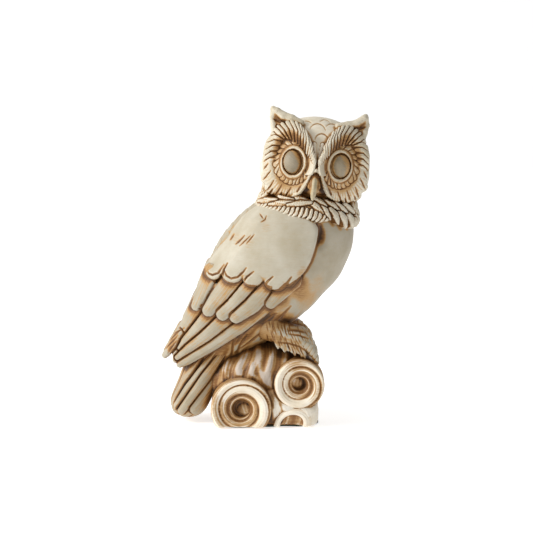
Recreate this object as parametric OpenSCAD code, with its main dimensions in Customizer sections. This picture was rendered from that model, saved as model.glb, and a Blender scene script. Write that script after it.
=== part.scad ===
// Owl figurine perched on a scrolled rock, assembled from hollow and solid ceramic castings.
// Millimetres. +Z is up, +X is where the bird's body faces, and -Y is where its face looks.
// The origin is the middle of the felt's resting face. "right" and "left" are the bird's own.

/* [Pose] */
// Turn of the face about the vertical axis
head_yaw = 0; // [-5:1:10]
// Sideways tilt of the head
head_roll = 5; // [0:1:8]

/* [Head] */
// Width of the skull
head_w = 83; // [80:1:85]
// Depth of the skull from the back to behind the beak
head_d = 72; // [68:1:76]
// Height of the skull
head_h = 66; // [64:1:69]
// Distance between the eyes' centres
eye_gap = 35; // [34:1:37]
// Height of an eye
eye_h = 17.5; // [16:0.5:19]
// Width of an eye
eye_w = 14; // [13:0.5:15]

/* [Body] */
// Half width of the chest from side to side
chest_half = 38; // [35:1:40]
// Thickness of the folded wings over the chest
wing_t = 8; // [6:1:10]
// Thickness of the tail from front to back
tail_t = 25; // [22:1:28]

/* [Base] */
// Outer radius of the front scroll
front_scroll_r = 22; // [20:1:23]
// Outer radius of the perch scroll
perch_scroll_r = 18.5; // [17:0.5:19.5]
// Width of the groove that winds round a scroll
groove_w = 3; // [2:0.5:3.5]

/* [Casting] */
// Wall of the hollow castings
wall = 5; // [4:0.5:6]
// Diameter of the pour hole under the base
pour_d = 20; // [16:1:24]
// Thickness of the felt under the base
felt_t = 1.5; // [1:0.5:2]

/* [Hidden] */
fine = 20; // facets round a large rounded form
coarse = 12; // facets round a small one
glaze = "antiquewhite";
shade = "wheat";
head_at = [37.2, -4, 200]; // midway between the eyes, on the skull's upright axis
eye_at = [eye_gap / 2, -head_d / 2 + 3, 0];
neck_r = 13; // opening between the hollow head and the hollow torso
neck_at = [31, 0, 150];
vent_r = 5; // opening between the hollow torso and the hollow base
vent_at = [-14, 4, 13];
vent_h = 64;
foot_blend = 8; // rounding of the inward corners in the base's outline
felt_inset = 4; // the felt stops short of the base's edge
scroll_rim = 3; // bevel round a scroll's face
groove_depth = 2.5;
groove_turns = 1.75;
scroll_eye = 0.2; // radius of the hole in a scroll's middle, as a part of the scroll's
scroll_eye_depth = 4.5;
cave_r = 12;
cave_mouth_r = 8;
cave_depth = 6;
far = 150; // more than any distance in the part
ruff_step = 30; // degrees between the lumps of the ruff

// A station is [centre, radii]. The torso leans back from the neck to the root of the tail.
torso_line = [
    [[27, 0, 163], [32, 27, 14]],
    [[22, 0, 151], [45, chest_half - 3, 20]],
    [[14, 0, 134], [51.5, chest_half, 22]],
    [[5, 0, 115], [51.5, chest_half, 22]],
    [[-7, 0, 98], [46.5, chest_half - 3, 20]],
    [[-20, 0, 82], [39, chest_half - 8, 18]],
    [[-34, 0, 66], [30, 22, 15]],
    [[-45, 0, 52], [18, 15, 12]]
];
tail_line = [
    [[-40, 0, 56], [tail_t / 2 + 2.5, 17, 14]],
    [[-49, -1, 38], [tail_t / 2 + 2, 18, 12]],
    [[-55, -2, 24], [tail_t / 2 + 1.3, 17, 11]],
    [[-60.5, -4, 12], [tail_t / 2 + 0.8, 15, 10.2]]
];

// The coverts make one smooth leaf from the shoulder to a scalloped hem.
covert_points = [
    [[22, -29, 151], [20, wing_t + 2, 14]],
    [[20, -33, 134], [18, wing_t + 2, 16]],
    [[6, -34, 120], [15, wing_t + 2, 12]],
    [[-15, -32, 123], [15, wing_t + 2, 12]],
    [[-33, -22, 124], [13, wing_t + 3, 12]],
    [[-3, -24, 150], [20, wing_t + 3, 14]]
];

// Each feather is [root, tip, half width at the root].
secondary_feathers = [
    [[13, -33, 109], [3, -33, 99], 10],
    [[-3, -34, 106], [-17, -32, 87], 10],
    [[-18, -32, 107], [-29, -29, 89], 10],
    [[-32, -27, 108], [-41, -24, 91], 9.5],
    [[-41, -18, 110], [-49, -16, 94], 8.5]
];
primary_feathers = [
    [[-2, -30, 88], [-60, -16, 45], 10],
    [[-18, -28, 86], [-65, -14, 45], 10],
    [[-33, -25, 86], [-70, -11, 48], 9],
    [[-44, -17, 97], [-76, -7, 50], 8]
];
leg_line = [
    [[0, -14, 84], [14, 13, 12]],
    [[8, -16, 76], [11, 12, 11]],
    [[18, -17, 68], [11, 12, 8]],
    [[27, -18, 65], [10, 11, 8.5]]
];

// Three toes fan out over the perch from the front of each foot.
toe_turns = [-24, 0, 24];
roll_line = [
    [[-37, 2, 32], [12, 20, 15]],
    [[-22, 0, 36], [16, 27, 19]],
    [[-6, 0, 40], [17, 30, 21]],
    [[10, 0, 39], [17, 31, 20]],
    [[24, 0, 35], [16, 29, 17]]
];
mound_line = [
    [[-24, 0, 10], [18, 29, 17]],
    [[-8, 0, 13], [22, 35, 20]],
    [[10, 0, 14], [22, 36, 21]],
    [[22, -2, 13], [18, 34, 19]]
];

function grown(line, by) = [for (s = line) [s[0], [for (r = s[1]) r + by]]];

// One rounded lump of the station's radii.
module lump(station, fn = coarse) {
    translate(station[0]) scale(station[1]) sphere(r = 1, $fn = fn);
}

// A smooth solid through a row of stations.
module chain(line, fn = coarse) {
    for (i = [0 : len(line) - 2])
        hull() {
            lump(line[i], fn);
            lump(line[i + 1], fn);
        }
}

// side is 1 for the bird's right, at -Y, and -1 for its left.
module on_side(side) {
    mirror([0, side < 0 ? 1 : 0, 0]) children();
}

// The head's own frame: x across the face, -y out of the face, z up.
module in_head() {
    translate(head_at) rotate([0, head_roll, head_yaw]) children();
}

// In the head, the bird's right eye is on the -x side.
module on_face(side) {
    mirror([side > 0 ? 1 : 0, 0, 0]) children();
}

module above_felt() {
    intersection() {
        children();
        translate([-far, -far, felt_t]) cube(2 * far);
    }
}

// A tapering feather with a rounded tip.
module feather(f) {
    hull() {
        lump([f[0], [f[2], wing_t - 1, f[2]]], 10);
        lump([(f[0] + f[1]) / 2, [f[2], wing_t - 1.5, f[2]]], 10);
        lump([f[1], [f[2] * 0.6, wing_t / 2, f[2] * 0.6]], 10);
    }
}

// ---- base ----

module foot_outline() {
    offset(r = foot_blend, $fn = 24) offset(r = -foot_blend)
        union() {
            translate([-20, -15]) circle(r = 24);
            translate([-2, 0]) scale([1, 0.95]) circle(r = 37);
            translate([24, -14]) circle(r = 20);
            translate([14, 12]) circle(r = 26);
        }
}

module felt_pad() {
    color("darkolivegreen")
        linear_extrude(felt_t)
            offset(delta = -felt_inset) foot_outline();
}

module mound_form() {
    chain(mound_line, fine);
    hull() {
        lump([[29, -26, 9], [11, 11, 17]]);
        lump([[22, -20, 12], [12, 12, 16]]);
    }
}

// A flat spiral groove, wound in from radius r to its middle.
module spiral_groove(r, depth) {
    steps = 36;
    inner = scroll_eye * r;
    reach = 0.84 * r - inner;
    function at(i, side) =
        let (t = i / steps, a = 360 * groove_turns * t, q = inner + reach * t + side * groove_w / 2)
        [q * cos(a), q * sin(a)];
    translate([0, 0, -depth])
        linear_extrude(2 * depth)
            polygon([
                for (i = [0 : steps]) at(i, 1),
                for (i = [steps : -1 : 0]) at(i, -1)
            ]);
}

// A scroll's end: a drum with a bevelled rim, its face at z = 0 and its body below it.
module scroll_drum(r, length, carved) {
    rim = scroll_rim;
    difference() {
        union() {
            translate([0, 0, -length]) cylinder(r = r, h = length - rim, $fn = 40);
            translate([0, 0, -rim]) cylinder(r1 = r, r2 = r - rim, h = rim, $fn = 40);
        }
        if (carved) {
            spiral_groove(r - rim, groove_depth);
            cylinder(r = scroll_eye * r, h = 2 * scroll_eye_depth, center = true, $fn = 24);
        }
    }
    if (!carved) translate([0, 0, -rim]) cylinder(r = r, h = 2 * rim, $fn = 40);
}

// A low cave under a thick arch, at the front of the right corner.
module cave_arch(carved) {
    difference() {
        translate([0, 0, -16]) cylinder(r = cave_r, h = carved ? 16 : 20, $fn = 32);
        if (carved) cylinder(r = cave_mouth_r, h = 2 * cave_depth, center = true, $fn = 32);
    }
}

// Uncarved, a scroll is the room that its neighbours leave for it.
module scroll_form(part, carved = false) {
    if (part == "front")
        translate([-21, -40, 16.5]) rotate([86, 0, -8]) scroll_drum(front_scroll_r, 24, carved);
    if (part == "perch")
        translate([26, -37, 34]) rotate([88, 0, 6]) scroll_drum(perch_scroll_r, 22, carved);
    if (part == "corner")
        translate([18.5, -39, 4]) rotate([84, 0, 0]) cave_arch(carved);
    if (part == "rear")
        translate([12, 38, 21]) rotate([-86, 0, 0]) scroll_drum(20, 20, carved);
    if (part == "rear_small")
        translate([-24, 34, 14]) rotate([-84, 0, 12]) scroll_drum(13, 16, carved);
}

module scroll_forms() {
    for (part = ["front", "perch", "corner", "rear", "rear_small"]) scroll_form(part);
}

module roll_form() {
    chain(roll_line, fine);
}

// Joins the hollows of the mound, the roll and the torso.
module vent() {
    translate(vent_at) cylinder(r = vent_r, h = vent_h, $fn = 16);
}

module base_mound() {
    color(shade)
        above_felt()
            difference() {
                mound_form();
                roll_form();
                scroll_forms();
                lump([[-2, 3, 14], [21, 14, 14 - felt_t - wall]]);
                cylinder(d = pour_d, h = 24, center = true, $fn = 32);
                vent();
            }
}

module perch_roll() {
    color(shade)
        difference() {
            roll_form();
            scroll_forms();
            lump([[-8, 4, 39], [25, 13, 19 - wall]]);
            vent();
        }
}

module scroll(part) {
    color(glaze)
        above_felt()
            difference() {
                scroll_form(part, true);
                if (part == "rear_small") scroll_form("rear");
            }
}

// ---- body ----

module torso_form() {
    chain(torso_line, fine);
}

module neck_opening() {
    translate(neck_at) cylinder(r = neck_r, h = 40, $fn = 24);
}

module torso() {
    color(glaze)
        difference() {
            torso_form();
            roll_form();
            chain(grown([for (i = [0 : 5]) torso_line[i]], -wall), coarse);
            neck_opening();
            vent();
        }
}

module ruff_form() {
    for (a = [0 : ruff_step : 360 - ruff_step])
        hull()
            for (b = [a, a + ruff_step])
                // The collar hangs lower over the breast than over the back.
                lump([[32.5 + 28.5 * cos(b), -3 + 26 * sin(b), 167 - 8 * cos(b)], [9, 9, 12 + 2 * cos(b)]]);
}

module neck_ruff() {
    color(glaze)
        difference() {
            ruff_form();
            torso_form();
            head_form();
        }
}

module tail() {
    color(glaze)
        difference() {
            chain(tail_line, fine);
            torso_form();
            roll_form();
            scroll_form("front");
            for (side = [1, -1]) on_side(side) primary_form();
        }
}

module leg(side) {
    color(shade)
        difference() {
            on_side(side) chain(leg_line, 16);
            torso_form();
            roll_form();
            scroll_form("perch");
            on_side(side) primary_form();
        }
}

// Three toes, each ending in a claw that bends down over the perch.
module toes(side) {
    color(shade)
        difference() {
            on_side(side)
                for (a = toe_turns)
                    translate([29, -18, 61]) rotate([0, 0, a])
                        chain([
                            [[0, 0, 1], [6, 4.5, 5]],
                            [[8, 0, -2], [4, 4.2, 5]],
                            [[11, 0, -8], [2.5, 2.2, 4]],
                            [[12, 0, -13], [1, 1, 1.5]]
                        ], 8);
            on_side(side) chain(leg_line, 16);
            roll_form();
            scroll_form("perch");
        }
}

module covert_form() {
    hull()
        for (point = covert_points) lump(point, 18);
}

module secondary_form() {
    for (f = secondary_feathers) feather(f);
}

module primary_form() {
    for (f = primary_feathers) feather(f);
}

module wing_coverts(side) {
    color(glaze)
        difference() {
            on_side(side) covert_form();
            torso_form();
            ruff_form();
        }
}

module wing_secondaries(side) {
    color(glaze)
        difference() {
            on_side(side) secondary_form();
            torso_form();
            on_side(side) covert_form();
        }
}

module wing_primaries(side) {
    color(glaze)
        difference() {
            on_side(side) primary_form();
            torso_form();
            on_side(side) secondary_form();
            on_side(side) covert_form();
        }
}

// ---- head ----

module skull_lumps(by = 0) {
    hull() {
        lump([[0, 0, 1], [head_w / 2 - 2 + by, head_d / 2 + by, head_h / 2 + by]], 24);
        lump([[0, -2, -9], [head_w / 2 + by, head_d / 2 - 3 + by, head_h / 2 - 11 + by]], 24);
    }
}

module head_form() {
    in_head() skull_lumps();
}

module head() {
    color(glaze)
        difference() {
            head_form();
            torso_form();
            in_head() skull_lumps(-wall);
            neck_opening();
        }
}

module beak_form() {
    chain([
        [[0, -35, -7], [3.5, 5, 4]],
        [[0, -39, -12], [4.8, 6, 5]],
        [[-0.5, -43, -16], [4.6, 5.5, 5]],
        [[-1.5, -45, -21], [3.2, 4, 4]],
        [[-2, -43.5, -25.5], [1, 1.4, 1.5]]
    ], coarse);
}

module beak() {
    color(shade)
        difference() {
            in_head() beak_form();
            head_form();
        }
}

module eye_form(by = 0) {
    hull() lump([eye_at, [eye_w / 2 + by, 8 + by, eye_h / 2 + by]], 20);
}

module eye(side) {
    color(shade)
        difference() {
            in_head() on_face(side) eye_form();
            head_form();
        }
}

module brow_form() {
    chain([
        [[3.3, -38, 1], [3, 5, 4]],
        [[6.5, -38, 9], [4.5, 5, 6]],
        [[11, -36, 19], [5, 6, 6]],
        [[19, -30, 26], [6.5, 6, 5]],
        [[28, -21, 25.5], [6, 6, 4.5]],
        [[33, -17, 17], [4.5, 6, 6]]
    ], coarse);
}

module brow(side) {
    color(glaze)
        difference() {
            in_head() on_face(side) brow_form();
            head_form();
        }
}

module face_disc_form() {
    chain([
        [[11, -32, 4], [8, 6, 10]],
        [[20, -31, 0], [13, 6.5, 14]],
        [[27.5, -25, -4], [11.5, 8, 16]],
        [[24, -25, -16], [14, 9, 12]],
        [[13, -31, -10], [8, 6, 8]]
    ], coarse);
}

module face_disc(side) {
    color(glaze)
        difference() {
            in_head() on_face(side) face_disc_form();
            head_form();
            torso_form();
            ruff_form();
            in_head() {
                on_face(side) eye_form(1);
                on_face(side) brow_form();
                beak_form();
            }
        }
}

module ear_form() {
    chain([
        [[24, -13, 26], [10, 6, 6]],
        [[29, -12, 30], [7.5, 5, 6]],
        [[33.5, -11.5, 35], [4, 3.5, 4]],
        [[36, -11.5, 38.5], [1.8, 2, 2]]
    ], coarse);
}

module ear_tuft(side) {
    color(glaze)
        difference() {
            in_head() on_face(side) ear_form();
            head_form();
            in_head() on_face(side) brow_form();
        }
}

felt_pad();
base_mound();
perch_roll();
scroll("perch");  // perch_scroll
scroll("front");  // front_scroll
scroll("corner");  // corner_scroll
scroll("rear");  // rear_scroll
scroll("rear_small");  // rear_small_scroll
torso();
neck_ruff();
head();
beak();
face_disc(1);  // face_disc_right
face_disc(-1);  // face_disc_left
eye(1);  // eye_right
eye(-1);  // eye_left
brow(1);  // brow_right
brow(-1);  // brow_left
ear_tuft(1);  // ear_tuft_right
ear_tuft(-1);  // ear_tuft_left
wing_coverts(1);  // wing_coverts_right
wing_coverts(-1);  // wing_coverts_left
wing_secondaries(1);  // wing_secondaries_right
wing_secondaries(-1);  // wing_secondaries_left
wing_primaries(1);  // wing_primaries_right
wing_primaries(-1);  // wing_primaries_left
tail();
leg(1);  // leg_right
leg(-1);  // leg_left
toes(1);  // toes_right
toes(-1);  // toes_left
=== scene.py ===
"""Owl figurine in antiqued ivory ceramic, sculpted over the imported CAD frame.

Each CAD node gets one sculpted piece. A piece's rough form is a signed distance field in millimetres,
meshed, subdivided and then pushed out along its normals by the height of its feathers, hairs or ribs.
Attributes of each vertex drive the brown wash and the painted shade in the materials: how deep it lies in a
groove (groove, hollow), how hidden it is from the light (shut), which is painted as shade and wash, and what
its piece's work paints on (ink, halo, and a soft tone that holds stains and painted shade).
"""

import math
from functools import partial

import bpy
import numpy as np
import openvdb as vdb
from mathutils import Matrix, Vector


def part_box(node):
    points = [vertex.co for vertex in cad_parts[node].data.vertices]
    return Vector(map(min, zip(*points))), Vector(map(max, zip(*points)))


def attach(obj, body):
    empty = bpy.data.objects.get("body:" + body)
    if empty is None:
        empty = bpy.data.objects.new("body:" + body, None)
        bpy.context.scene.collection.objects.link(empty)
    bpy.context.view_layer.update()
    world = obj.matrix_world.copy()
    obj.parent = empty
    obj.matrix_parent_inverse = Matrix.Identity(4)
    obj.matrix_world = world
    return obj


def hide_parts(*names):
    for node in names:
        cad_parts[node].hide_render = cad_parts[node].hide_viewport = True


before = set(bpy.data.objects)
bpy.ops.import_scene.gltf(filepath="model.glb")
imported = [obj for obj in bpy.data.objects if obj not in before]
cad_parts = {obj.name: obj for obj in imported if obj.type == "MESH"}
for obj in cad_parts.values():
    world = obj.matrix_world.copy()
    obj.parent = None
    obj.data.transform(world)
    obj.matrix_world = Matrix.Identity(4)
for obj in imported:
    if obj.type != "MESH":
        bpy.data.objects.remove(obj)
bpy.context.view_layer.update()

MM = 0.001
BODY = "root"
RIGHT, LEFT = 1, -1  # the bird's own sides: its right is at -Y on the body and at -x on the face
rng = np.random.default_rng(7)


# ---- places on the frame, in millimetres ----


def low(node):
    return np.array(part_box(node)[0]) / MM


def high(node):
    return np.array(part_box(node)[1]) / MM


def mid(node):
    return (low(node) + high(node)) / 2


EYE_R, EYE_L = mid("eye_right"), mid("eye_left")
ROLL = math.atan2(EYE_R[2] - EYE_L[2], EYE_L[0] - EYE_R[0])
HEAD = np.array([(EYE_R[0] + EYE_L[0]) / 2, mid("head")[1], (EYE_R[2] + EYE_L[2]) / 2])
EYE_U = math.hypot(EYE_L[0] - EYE_R[0], EYE_R[2] - EYE_L[2]) / 2
FLOOR_Z = low("base_mound")[2]
TORSO = np.array([mid("torso")[0], 0.0, low("torso")[2]])
TAIL = np.array([low("tail")[0], mid("tail")[1], low("tail")[2]])


# ---- clay: signed distance fields on a grid ----


def smin(a, b, k):
    """The smaller of two distances, rounded off over k where they are nearly equal."""
    h = np.maximum(k - np.abs(a - b), 0) / k
    return np.minimum(a, b) - h * h * k * 0.25


def smax(a, b, k):
    return -smin(-a, -b, k)


def ball(p, c, r):
    """Distance to an ellipsoid of centre c and radii r, near enough."""
    q = [p[i] - c[i] for i in range(3)]
    k0 = np.sqrt(sum((q[i] / r[i]) ** 2 for i in range(3)))
    k1 = np.sqrt(sum((q[i] / r[i] ** 2) ** 2 for i in range(3))) + 1e-9
    return k0 * (k0 - 1) / k1


def rod(p, a, b, ra, rb):
    """Distance to a tapering rod from a to b."""
    a, b = np.asarray(a, float), np.asarray(b, float)
    ab = b - a
    t = sum((p[i] - a[i]) * ab[i] for i in range(3)) / float(ab @ ab)
    t = np.clip(t, 0, 1)
    d = np.sqrt(sum((p[i] - a[i] - t * ab[i]) ** 2 for i in range(3)))
    return d - (ra + (rb - ra) * t)


def between(stations, steps):
    """The stations, with steps more of them between each two."""
    out = []
    for (c0, r0), (c1, r1) in zip(stations, stations[1:]):
        for i in range(steps):
            t = i / steps
            mix = lambda m, n: [x + (y - x) * t for x, y in zip(m, n)]
            out.append((mix(c0, c1), mix(r0, r1)))
    return out + [stations[-1]]


def chain(p, stations, blend):
    """Distance to ellipsoids strung along a line of stations and smoothly joined."""
    d = None
    for c, r in between(stations, 3):
        e = ball(p, c, r)
        d = e if d is None else smin(d, e, blend)
    return d


class Clay:
    """A block of clay between two corners. x, y and z broadcast over it, and d is the distance."""

    def __init__(self, lo, hi, voxel):
        self.voxel = voxel
        self.lo = np.asarray(lo, float)
        n = np.ceil((np.asarray(hi, float) - self.lo) / voxel).astype(int) + 1
        axes = [(self.lo[i] + voxel * np.arange(n[i])).astype(np.float32) for i in range(3)]
        self.x, self.y, self.z = axes[0][:, None, None], axes[1][None, :, None], axes[2][None, None, :]
        self.shape = tuple(n)
        self.d = np.full(self.shape, 6.0, np.float32)

    def carve(self, d):
        """Takes a whole distance field as its form."""
        self.d = d.astype(np.float32)
        return self

    @property
    def p(self):
        return self.x, self.y, self.z

    def window(self, lo, hi):
        """The slices and coordinates of the part of the block between two corners."""
        a = np.clip(np.floor((np.asarray(lo) - self.lo) / self.voxel).astype(int), 0, self.shape)
        b = np.clip(np.ceil((np.asarray(hi) - self.lo) / self.voxel).astype(int) + 1, 0, self.shape)
        s = tuple(slice(i, j) for i, j in zip(a, b))
        return s, (self.x[s[0]], self.y[:, s[1]], self.z[:, :, s[2]])

    def add_rod(self, a, b, ra, rb, blend):
        """A tapering rod, smoothly joined on."""
        pad = max(ra, rb) + blend + 2 * self.voxel
        s, p = self.window(np.minimum(a, b) - pad, np.maximum(a, b) + pad)
        if 0 not in self.d[s].shape:
            self.d[s] = smin(self.d[s], rod(p, a, b, ra, rb).astype(np.float32), blend)

    def add_ball(self, c, r, blend):
        pad = np.asarray(r, float) + blend + 2 * self.voxel
        s, p = self.window(np.asarray(c) - pad, np.asarray(c) + pad)
        if 0 not in self.d[s].shape:
            self.d[s] = smin(self.d[s], ball(p, c, r).astype(np.float32), blend)

    def cut_ball(self, c, r, blend):
        pad = np.asarray(r, float) + blend + 2 * self.voxel
        s, p = self.window(np.asarray(c) - pad, np.asarray(c) + pad)
        if 0 not in self.d[s].shape:
            self.d[s] = smax(self.d[s], -ball(p, c, r).astype(np.float32), blend)

    def skin(self):
        """Quads and points of the surface."""
        grid = vdb.FloatGrid(self.voxel * 3)
        d = np.clip(self.d, -3 * self.voxel, 3 * self.voxel)
        edge = np.full(tuple(n + 2 for n in self.shape), 3 * self.voxel, np.float32)
        edge[1:-1, 1:-1, 1:-1] = d
        grid.copyFromArray(edge)
        points, quads = grid.convertToQuads()
        return (points - 1) * self.voxel + self.lo, quads


# ---- meshes ----


def refine(points, quads, levels):
    """The mesh after so many rounds of Catmull-Clark subdivision."""
    me = bpy.data.meshes.new("rough")
    me.from_pydata(points.tolist(), [], quads.tolist())
    o = bpy.data.objects.new("rough", me)
    bpy.context.scene.collection.objects.link(o)
    m = o.modifiers.new("smooth", "SUBSURF")
    m.levels = m.render_levels = levels
    dg = bpy.context.evaluated_depsgraph_get()
    fine = bpy.data.meshes.new_from_object(o.evaluated_get(dg))
    bpy.data.objects.remove(o)
    bpy.data.meshes.remove(me)
    return fine


def coords(me):
    co = np.zeros(len(me.vertices) * 3, np.float32)
    me.vertices.foreach_get("co", co)
    return co.reshape(-1, 3).astype(float)


def normals(me):
    no = np.zeros(len(me.vertices) * 3, np.float32)
    me.vertices.foreach_get("normal", no)
    return no.reshape(-1, 3).astype(float)


def put(me, co):
    me.vertices.foreach_set("co", co.astype(np.float32).ravel())
    me.update()


class Web:
    """Which vertices of a mesh are neighbours, for averaging over them."""

    def __init__(self, me):
        e = np.zeros(len(me.edges) * 2, np.int32)
        me.edges.foreach_get("vertices", e)
        self.a, self.b = e.reshape(-1, 2).T
        self.n = len(me.vertices)
        self.count = np.bincount(self.a, minlength=self.n) + np.bincount(self.b, minlength=self.n)

    def mean(self, v):
        out = np.empty_like(v)
        for i in range(v.shape[1]):
            out[:, i] = np.bincount(self.a, v[self.b, i], self.n) + np.bincount(self.b, v[self.a, i], self.n)
        return out / np.maximum(self.count, 1)[:, None]

    def blur(self, v, rounds):
        for _ in range(rounds):
            v = 0.5 * v + 0.5 * self.mean(v)
        return v


def grooves(me, web):
    """How far each vertex lies below its surroundings, in mm, close by and further off."""
    co, no = coords(me), normals(me)
    near = web.blur(co, 6)
    far = web.blur(near, 40)
    return ((near - co) * no).sum(1), ((far - co) * no).sum(1)


def attribute(me, name, values):
    a = me.attributes.new(name, "FLOAT", "POINT")
    a.data.foreach_set("value", np.clip(values, -8, 8).astype(np.float32))


made = []  # (object, web, relief), until the shading attributes are written


class Relief:
    """What is worked into a surface: mm to push out, dark lines, and soft stains and painted shade, by flat
    coordinates.
    """

    def __init__(self, u, v):
        self.u, self.v = u, v
        self.h, self.ink, self.wash_and_shade = (np.zeros(len(u)) for _ in range(3))

    def close(self, path, pad):
        """Which points lie near a path."""
        us, vs = [p[0] for p in path], [p[1] for p in path]
        out = (self.u > min(us) - pad) & (self.u < max(us) + pad)
        return np.flatnonzero(out & (self.v > min(vs) - pad) & (self.v < max(vs) + pad))

    def plumes(self, feathers, crown=1.6, rise=0.0, width=0.5, cut=0.8, barbs=0.06, lean=0.0):
        """Feathers that overlap, later ones on top, with a dark line round each.

        With a lean, their right-hand sides stand higher and are darkened as painted shade, away from the
        light.
        """
        for i, (path, widths) in enumerate(feathers):
            m = self.close(path, max(widths) + 3 * width)
            u, v = self.u[m], self.v[m]
            edge, across = band(u, v, path, widths)
            inside = edge < 0
            side = 1 - np.clip(-edge / max(widths), 0, 1)
            ribs = barbs * np.sin(across * 4.3) * np.sin(across * 1.3 + i)
            own = rise * i + crown * np.sqrt(1 - side ** 2) + ribs
            line = hump(edge, width)
            if lean:
                slope = np.clip(across / max(widths), -1, 1)
                own = own - 0.5 * slope
                # Painted shade: darker across each feather towards its side away from the light.
                self.wash_and_shade[m] = np.where(inside, -lean * slope, self.wash_and_shade[m])
            self.h[m] = np.where(inside, own - cut * line, np.minimum(self.h[m], self.h[m] - cut * line))
            self.ink[m] = np.where(inside, line, np.maximum(self.ink[m], line))

    def strokes(self, lines, width=0.5, cut=0.6, ink=1.0):
        """Grooves along paths, which fade out at both ends. A negative cut raises a ridge."""
        for path in lines:
            m = self.close(path, 3 * width + 1)
            u, v = self.u[m], self.v[m]
            n = len(path) - 1
            best = np.full(len(m), 1e9)
            t = np.zeros(len(m))
            for k, (a, b) in enumerate(zip(path, path[1:])):
                d, along = segment(u, v, a, b)
                t = np.where(d < best, (k + along) / n, t)
                best = np.minimum(best, d)
            line = hump(best, width) * (0.35 + 0.65 * np.sin(math.pi * np.clip(t, 0.02, 0.98)))
            self.h[m] -= cut * line
            self.ink[m] = np.maximum(self.ink[m], ink * line)

    def stain_or_shade_patch(self, centre, radii, amount):
        """A soft oval stain or patch of painted shade, or with a negative amount a rubbed place."""
        d = np.hypot((self.u - centre[0]) / radii[0], (self.v - centre[1]) / radii[1])
        self.wash_and_shade += amount * ramp(-d, -1, -0.2)

    def tucked(self, over, reach=7.0, amount=0.9):
        """The crevice along the edge of whatever lies over this surface, drawn dark, and a brown tone
        spreading out from it: wash that gathers under the edge, and painted shade.
        """
        self.ink = np.maximum(self.ink, 0.95 * hump(over - 0.3, 1.0))
        self.wash_and_shade += amount * ramp(-over, -reach, 0)

    def within(self, mask):
        """Fades everything so far by a mask."""
        self.h, self.ink, self.wash_and_shade = self.h * mask, self.ink * mask, self.wash_and_shade * mask
        return self


def piece(node, clay, work, material, levels=1, smooth=0):
    """Makes the node's piece from its clay. work(points, normals) gives its relief."""
    points, quads = clay.skin()
    me = refine(points, quads, levels)
    web = Web(me)
    if smooth:
        put(me, web.blur(coords(me), smooth))
    co, no = coords(me), normals(me)
    relief = work(co, no)
    put(me, co + no * relief.h[:, None])
    me.shade_smooth()
    me.name = node
    o = bpy.data.objects.new("visual_" + node, me)
    bpy.context.scene.collection.objects.link(o)
    made.append((o, web, relief))
    o["node"] = node
    o.data.materials.append(material)


def occlusion(solids, reach=(2.0, 5.0, 10.0), voxel=1.25):
    """For each mesh, how much of the nearby space above each vertex is filled, from 0 to 1."""
    points, quads, start = [], [], 0
    for me in solids:
        co = coords(me)
        loops = np.zeros(len(me.loops), np.int32)
        me.loops.foreach_get("vertex_index", loops)
        points.append(co)
        quads.append(loops.reshape(-1, 4) + start)
        start += len(co)
    field = vdb.FloatGrid.createLevelSetFromPolygons(
        np.concatenate(points).astype(np.float32),
        quads=np.concatenate(quads).astype(np.uint32),
        transform=vdb.createLinearTransform(voxelSize=voxel),
        halfWidth=9.0,
    )
    lo, hi = field.evalActiveVoxelBoundingBox()
    dense = np.zeros(tuple(h - l + 1 for l, h in zip(lo, hi)), np.float32)
    field.copyToArray(dense, ijk=lo)
    out = []
    for me in solids:
        co, no = coords(me), normals(me)
        hidden = np.zeros(len(co))
        for r in reach:
            q = (co + no * r) / voxel - np.array(lo)
            hidden += 1 - np.clip(sample(dense, q) / r, 0, 1)
        out.append(hidden / len(reach))
    return out


def sample(a, q):
    """Trilinear reading of array a at index positions q."""
    q = np.clip(q, 0, np.array(a.shape) - 1.001)
    i = q.astype(int)
    f = q - i
    total = 0
    for dx in (0, 1):
        for dy in (0, 1):
            for dz in (0, 1):
                w = abs(1 - dx - f[:, 0]) * abs(1 - dy - f[:, 1]) * abs(1 - dz - f[:, 2])
                total = total + w * a[i[:, 0] + dx, i[:, 1] + dy, i[:, 2] + dz]
    return total


# ---- flat outlines and patterns ----


def segment(u, v, a, b):
    """Distance to a segment in the plane, and how far along it the nearest point is, from 0 to 1."""
    ax, ay = a
    bx, by = b[0] - ax, b[1] - ay
    t = np.clip(((u - ax) * bx + (v - ay) * by) / (bx * bx + by * by), 0, 1)
    return np.hypot(u - ax - t * bx, v - ay - t * by), t


def band(u, v, path, widths):
    """Signed distance to a band along a path, by its half widths, and the distance across from its middle."""
    edge = across = None
    for a, b, wa, wb in zip(path, path[1:], widths, widths[1:]):
        d, t = segment(u, v, a, b)
        e = d - (wa + (wb - wa) * t)
        length = math.hypot(b[0] - a[0], b[1] - a[1])
        side = ((u - a[0]) * (b[1] - a[1]) - (v - a[1]) * (b[0] - a[0])) / length
        across = side if edge is None else np.where(e < edge, side, across)
        edge = e if edge is None else np.minimum(edge, e)
    return edge, across


def bands(u, v, feathers):
    """Signed distance to all of the feathers together."""
    out = None
    for path, widths in feathers:
        e = band(u, v, path, widths)[0]
        out = e if out is None else np.minimum(out, e)
    return out


def arc(centre, radius, start, end, count=9):
    """Points along an arc, by angles in degrees."""
    turns = np.radians(np.linspace(start, end, count))
    return [(centre[0] + radius * math.cos(t), centre[1] + radius * math.sin(t)) for t in turns]


def polygon(u, v, corners):
    """Signed distance to a polygon."""
    d = None
    inside = np.zeros(np.broadcast(u, v).shape, bool)
    for (ax, ay), (bx, by) in zip(corners, corners[1:] + corners[:1]):
        e, _ = segment(u, v, (ax, ay), (bx, by))
        d = e if d is None else np.minimum(d, e)
        crosses = ((ay > v) != (by > v)) & (u < (bx - ax) * (v - ay) / (by - ay + 1e-9) + ax)
        inside = inside ^ crosses
    return np.where(inside, -d, d)


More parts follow.
